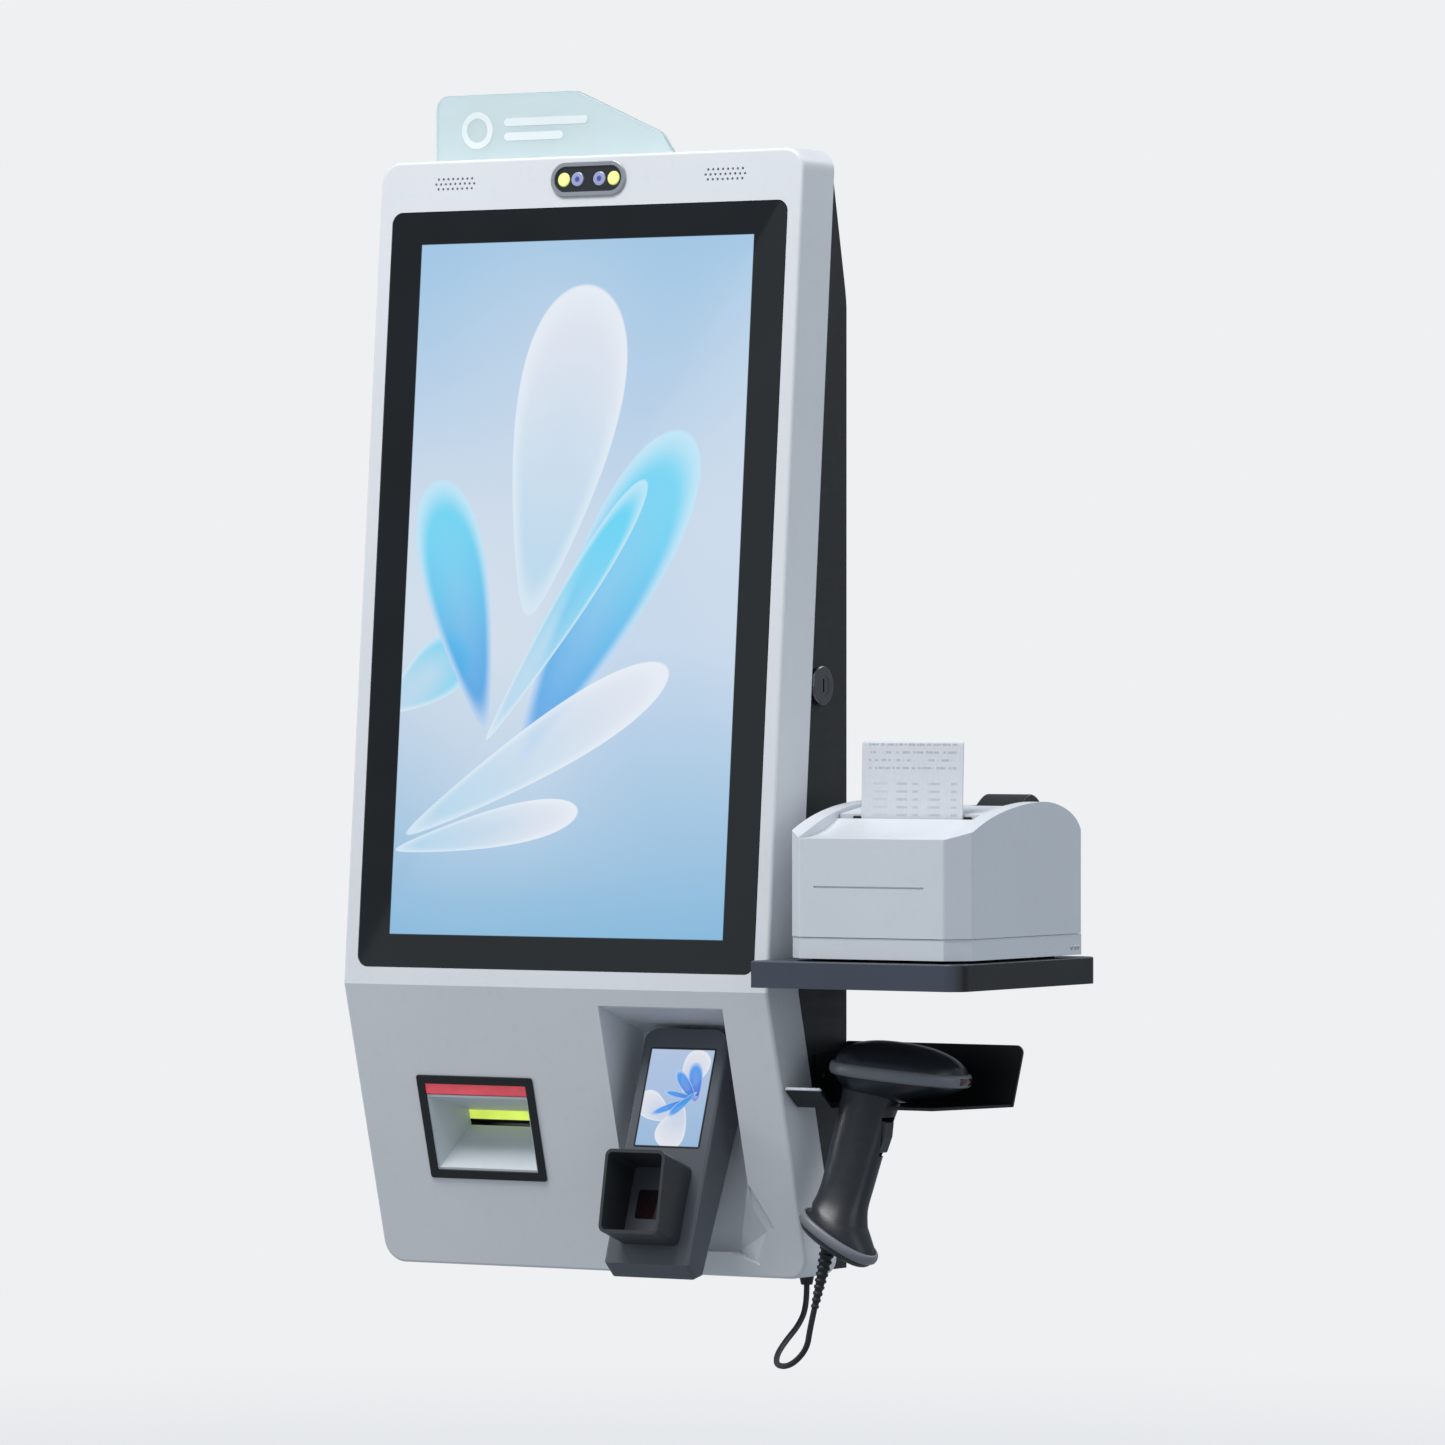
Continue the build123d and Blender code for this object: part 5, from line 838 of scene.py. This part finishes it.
def between(rows, steps):
    """Rows of numbers with smooth rows put in between (Catmull-Rom)."""
    made = []
    for i in range(len(rows) - 1):
        four = rows[max(i - 1, 0)], rows[i], rows[i + 1], rows[min(i + 2, len(rows) - 1)]
        for step in range(steps):
            t = step / steps
            weights = (
                (2 * t ** 2 - t - t ** 3) / 2,
                (2 - 5 * t ** 2 + 3 * t ** 3) / 2,
                (t + 4 * t ** 2 - 3 * t ** 3) / 2,
                (t ** 3 - t ** 2) / 2,
            )
            made.append([sum(w * v for w, v in zip(weights, values)) for values in zip(*four)])
    return made + [list(rows[-1])]


def head_skin(shape):
    skin(shape, [
        oval(HEAD_AT + HEAD_UP * (rise * MM) + NOSE * (shift * MM), NOSE, HEAD_ASIDE,
             half_long * MM, half_wide * MM, count=96, power=2.2)
        for rise, half_long, half_wide, shift in between(HEAD_RINGS, 5)
    ])


def grip_skin(shape):
    rings = []
    for x, y, z, half_long, half_wide in between(GRIP_RINGS, 6):
        lean = FOOT_TILT * max(0.0, (LEAN_FROM_Z - z) / LEAN_OVER)
        along = Vector((cos(lean), 0.0, -sin(lean)))
        rings.append(oval(spot(x, y, z), along, ACROSS_Y, half_long * MM, half_wide * MM, 96, 2.3))
    rings.append(oval(FOOT_AT + FOOT_UP * 0.004, FOOT_ALONG, ACROSS_Y, 0.0262, 0.0162, count=96))
    rings.append(oval(FOOT_AT, FOOT_ALONG, ACROSS_Y, 0.0288, 0.0170, count=96))
    skin(shape, rings)


def pocket_block(shape):
    """What the trigger's pocket takes out of the grip."""
    skin(shape, [[spot(x, TRIGGER_Y + side, z) for x, z in POCKET]
                 for side in (-POCKET_HALF_W, POCKET_HALF_W)])


def make_scanner_body():
    """Grip with the trigger's pocket cut out of it, and the head on top of it."""
    pocket = bpy.data.objects.new("pocket", mesh_of("pocket", pocket_block))
    rough = bpy.data.objects.new("grip_rough", mesh_of("grip_rough", grip_skin))
    for spare in (pocket, rough):
        bpy.context.scene.collection.objects.link(spare)
    cut = rough.modifiers.new("pocket", "BOOLEAN")
    cut.operation = "DIFFERENCE"
    cut.object = pocket
    bpy.context.view_layer.update()
    mesh = evaluated(rough)
    for spare in (rough, pocket):
        bpy.data.objects.remove(spare)
    grip = add_piece("scanner_grip", mesh, "scanner", SCANNER)
    grip.data.set_sharp_from_angle(angle=radians(40.0))
    head = mesh_of("head", head_skin)
    add_piece("scanner_head", head, "scanner", SCANNER, ("scanner_body",))


def band_ring(shape, place, along, aside, up, half_long, half_wide, profile, power, count=96, part=None):
    """A band round an oval: profile is (way out, way up) of its section; part keeps a few steps of it."""
    rings = []
    inner = oval(place, along, aside, half_long, half_wide, count, power)
    for i, point in enumerate(inner):
        run = (inner[(i + 1) % count] - inner[i - 1]).normalized()
        outward = run.cross(up)
        rings.append([point + outward * out + up * rise for out, rise in profile])
    if part:
        skin(shape, rings[-part:] + rings[:part + 1])
    else:
        skin(shape, rings, closed=True)


BUMPER_SECTION = [         # metres out of the oval and up
    (-0.0008, -0.0040), (0.0009, -0.0044), (0.0022, -0.0030), (0.0027, -0.0006), (0.0026, 0.0016),
    (0.0017, 0.0036), (0.0004, 0.0043), (-0.0008, 0.0040),
]
WINDOW_SECTION = [(0.0016, -0.0026), (0.0029, -0.0024), (0.0030, 0.0020), (0.0016, 0.0024)]
FOOT_BAND_SECTION = [
    (-0.0010, 0.0012), (0.0004, 0.0014), (0.0015, 0.0002), (0.0020, -0.0020), (0.0016, -0.0044),
    (0.0004, -0.0056), (-0.0010, -0.0056),
]
BOOT_RINGS = [             # mm above the foot's rim, half length, half width
    (0.0, 29.2, 17.2),
    (-2.0, 30.0, 18.0),
    (-5.0, 29.9, 18.0),
    (-8.5, 28.4, 16.8),
    (-10.4, 25.6, 14.4),
    (-11.0, 22.0, 11.4),
    (-10.2, 20.4, 10.0),
    (-9.8, 8.0, 4.0),
]
SCREW_PROFILE = [(0, 0.0004), (0, 0.0022), (0.0012, 0.0022), (0.0013, 0.0017), (0.0008, 0.0004)]


def head_ring(shape, profile, part=None):
    band_ring(shape, HEAD_AT, NOSE, HEAD_ASIDE, HEAD_UP, HEAD_HALF_LONG, HEAD_HALF_WIDE, profile, 2.25,
              part=part)


def foot_ring(shape):
    band_ring(shape, FOOT_AT, FOOT_ALONG, ACROSS_Y, FOOT_UP, 0.0296, 0.0176, FOOT_BAND_SECTION, 2.2)


def boot_skin(shape):
    skin(shape, [
        oval(FOOT_AT + FOOT_UP * (rise * MM), FOOT_ALONG, ACROSS_Y, half_long * MM, half_wide * MM, power=2.2)
        for rise, half_long, half_wide in BOOT_RINGS
    ])


def foot_screws(shape):
    for way in (0.003, 0.014):
        lathe(shape, FOOT_AT + FOOT_ALONG * way - FOOT_UP * 0.0092, -FOOT_UP, SCREW_PROFILE, 20)


def make_scanner_trim():
    """Grey bands, scan glass, foot cap and its screws."""
    bumper = mesh_of("bumper", lambda shape: head_ring(shape, BUMPER_SECTION))
    add_piece("scanner_band", bumper, "scanner", SCANNER_GREY, ("scanner_bumper",))
    window = mesh_of("window", lambda shape: head_ring(shape, WINDOW_SECTION, part=5))
    glass = smoked_look("scanner_glass", (0.05, 0.006, 0.010))
    add_piece("scanner_glass", window, "scanner", glass, ("scanner_window",))
    cap = mesh_of("boot", boot_skin)
    boot = add_piece("scanner_boot", cap, "scanner", SCANNER, ("scanner_foot",))
    boot.modifiers.new("round", "SUBSURF").render_levels = 1
    add_piece("scanner_foot_band", mesh_of("foot_band", foot_ring), "scanner", SCANNER_GREY)
    add_piece("scanner_screws", mesh_of("screws", foot_screws), "scanner", SCANNER)


make_scanner_body()
make_scanner_trim()


# ------------------------ receipt and sign
FILM = 0.00025                         # thickness of the sign's print
SIGN_RING_R = 0.0105


def grid_edge(grid):
    """The points round the edge of a grid of rows, in order."""
    up = [line[-1] for line in grid[1:]]
    down = [line[0] for line in grid[-2:0:-1]]
    return grid[0] + up + grid[-1][-2::-1] + down


def make_receipt():
    """Strip of paper standing out of the desktop printer, bowed across and cut with fine teeth."""
    low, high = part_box("receipt_paper")
    middle = (low.x + high.x) / 2
    columns, rows = 78, 40
    thick = 0.00016

    def build(shape):
        grids = []
        for side in (-1, 1):
            grid = []
            for row in range(rows + 1):
                share = row / rows
                line = []
                for column in range(columns + 1):
                    across = column / columns * 2 - 1
                    x = middle + across * (high.x - low.x) / 2
                    y = low.y + 0.0009 * share ** 2 + 0.0016 * share * (across ** 2 - 0.35) + side * thick / 2
                    teeth = 0.0006 * (column % 2) if row == rows else 0.0
                    line.append(shape.verts.new((x, y, low.z + (high.z - low.z) * share - teeth)))
                grid.append(line)
            grids.append(grid)
        for grid in grids:
            for row in range(rows):
                for column in range(columns):
                    shape.faces.new((grid[row][column], grid[row][column + 1],
                                     grid[row + 1][column + 1], grid[row + 1][column]))
        front, back = (grid_edge(grid) for grid in grids)
        for i in range(len(front)):
            j = (i + 1) % len(front)
            shape.faces.new((front[i], front[j], back[j], back[i]))

    add_piece("receipt_strip", mesh_of("receipt", build), "root",
              receipt_look(middle, high.z), ("receipt_paper",))


def make_sign_print():
    """Frosted film on the sign: a plain ring and two bars."""
    low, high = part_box("sign_panel")
    face_y = low.y
    middle_z = high.z - 0.025

    def plate(shape, outline):
        skin(shape, [[Vector((x, y, z)) for x, z in outline] for y in (face_y, face_y - FILM)])

    def build(shape):
        band_ring(shape, Vector((low.x + 0.034, face_y, middle_z)), ACROSS_X, Vector((0, 0, 1)),
                  TO_FRONT, SIGN_RING_R, SIGN_RING_R,
                  [(-0.0022, 0.0), (0.0022, 0.0), (0.0022, FILM), (-0.0022, FILM)], 2.0, 48)
        for left, right, foot, top in ((0.056, 0.124, 0.0022, 0.0078), (0.056, 0.104, -0.0078, -0.0022)):
            round_end = (top - foot) / 2
            outline = []
            for centre, start in ((right - round_end, -90), (left + round_end, 90)):
                for step in range(13):
                    angle = radians(start + step * 15)
                    outline.append((low.x + centre + round_end * cos(angle),
                                    middle_z + (foot + top) / 2 + round_end * sin(angle)))
            plate(shape, outline)

    add_piece("sign_print", mesh_of("sign_print", build), "door", FROST, smooth=False)


make_receipt()
make_sign_print()


# ------------------------ small parts
def slab(shape, low, high):
    """A rectangular block with its edges slightly broken."""
    made = bmesh.ops.create_cube(shape, size=1.0)["verts"]
    middle, size = (Vector(low) + Vector(high)) / 2, Vector(high) - Vector(low)
    bmesh.ops.scale(shape, vec=size, verts=made)
    bmesh.ops.translate(shape, vec=middle, verts=made)
    edges = list({edge for v in made for edge in v.link_edges})
    bmesh.ops.bevel(shape, geom=edges, offset=min(size) * 0.12, segments=2, affect="EDGES")


def heat_sink(shape):
    for fin in range(12):
        x = -0.012 + 0.004 * fin
        slab(shape, (x - 0.0006, BOARD_FACE_Y - 0.022, BOARD_MIDDLE_Z - 0.013),
             (x + 0.0006, BOARD_FACE_Y - 0.009, BOARD_MIDDLE_Z + 0.033))
    slab(shape, (-0.0135, BOARD_FACE_Y - 0.0115, BOARD_MIDDLE_Z - 0.0138),
         (0.0335, BOARD_FACE_Y - 0.0088, BOARD_MIDDLE_Z + 0.0338))


def chips(shape):
    for x, up, half in ((-0.022, 0.062, 0.008), (0.060, 0.045, 0.010), (0.062, -0.010, 0.007),
                        (-0.024, -0.035, 0.006)):
        z = BOARD_MIDDLE_Z + up
        slab(shape, (x - half, BOARD_FACE_Y - 0.0016, z - half), (x + half, BOARD_FACE_Y, z + half))


def capacitors(shape):
    """A row of five small cans above the heat sink, and a column of three taller ones beside it."""
    for column in range(5):
        place = Vector((-0.010 + 0.011 * column, BOARD_FACE_Y, BOARD_MIDDLE_Z + 0.052))
        lathe(shape, place, TO_FRONT, [(0, 0.0036), (0.0085, 0.0036), (0.0092, 0.0032), (0.0092, 0.0006)], 24)
    for row in range(3):
        place = Vector((0.075, BOARD_FACE_Y, BOARD_MIDDLE_Z + 0.018 + 0.012 * row))
        lathe(shape, place, TO_FRONT, [(0, 0.0042), (0.0100, 0.0042), (0.0108, 0.0036), (0.0108, 0.0006)], 24)


def ports(shape):
    for x in (-0.026, -0.008, 0.010, 0.028, 0.046):
        slab(shape, (x - 0.007, BOARD_FACE_Y - 0.0128, BOARD_MIDDLE_Z - 0.068),
             (x + 0.007, BOARD_FACE_Y - 0.0088, BOARD_MIDDLE_Z - 0.052))


def make_board_parts():
    add_piece("board_heat_sink", mesh_of("heat_sink", heat_sink), "root", ZINC, smooth=False)
    add_piece("board_chips", mesh_of("chips", chips), "root", CHIP, smooth=False)
    add_piece("board_capacitors", mesh_of("capacitors", capacitors), "root", ZINC)
    add_piece("board_ports", mesh_of("ports", ports), "root", ZINC, smooth=False)


SLOT_TOP = 116.6                       # mm: top of the printer's paper slot
DOTS_Y, DOTS_Z = (18.0, 23.0, 27.0), 29.5   # mm: screws low on the printer's right side
DOT_PROFILE = [(0, 0.0016), (0.0004, 0.0016), (0.0009, 0.0011), (0.0010, 0.0003)]


# dark blocks standing in for the shade in the slot's open ends beside the paper
def slot_end_shade(shape):
    low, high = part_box("receipt_paper")
    top = spot(0, 0, SLOT_TOP).z
    for x in (low.x - 0.0034, high.x + 0.0034):
        slab(shape, (x - 0.0026, low.y - 0.0010, top - 0.004), (x + 0.0026, low.y + 0.0034, top + 0.0016))


def side_dots(shape):
    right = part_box("printer_base")[1].x
    for y in DOTS_Y:
        place = spot(0, y, DOTS_Z)
        place.x = right - 0.0004
        lathe(shape, place, ACROSS_X, DOT_PROFILE, 20)


def make_printer_parts():
    """Dark blocks at the ends of the slot beside the paper, painted shade standing in for the slot's open
    ends, and screws low on the right side.
    """
    add_piece("slot_end_shade", mesh_of("slot_shade_blocks", slot_end_shade), "root", LEVER, smooth=False)
    add_piece("printer_dots", mesh_of("dots", side_dots), "root", ZINC)


make_board_parts()
make_printer_parts()


# ------------------------ floor
FLOOR_Z = -0.66


def floor_disc(shape):
    bmesh.ops.create_circle(shape, cap_ends=True, radius=30.0, segments=96)


def make_floor():
    """Pale sweep below the kiosk that fades into the studio's background."""
    look = Look("floor_pale", {"Roughness": 1.0, "Specular IOR Level": 0.0})
    x, y, _ = look.split(look.place)
    fade = look.remap(look.distance(x, y), 0.5, 2.6, smooth=True)
    near = look.mix(look.noise(2.0), (0.88, 0.885, 0.89, 1), (0.91, 0.915, 0.92, 1))
    look.set("Base Color", look.mix(fade, near, (0, 0, 0, 1)))
    look.set("Emission Color", look.mix(fade, (0, 0, 0, 1), BACKDROP))
    look.set("Emission Strength", 1.0)
    look.set("Normal", look.bump(look.noise(60.0), 0.02, 0.001))
    floor = add_piece("floor", mesh_of("floor", floor_disc), None, look.material)
    floor.location.z = FLOOR_Z
    floor.visible_diffuse = False
    floor.visible_glossy = False


make_floor()
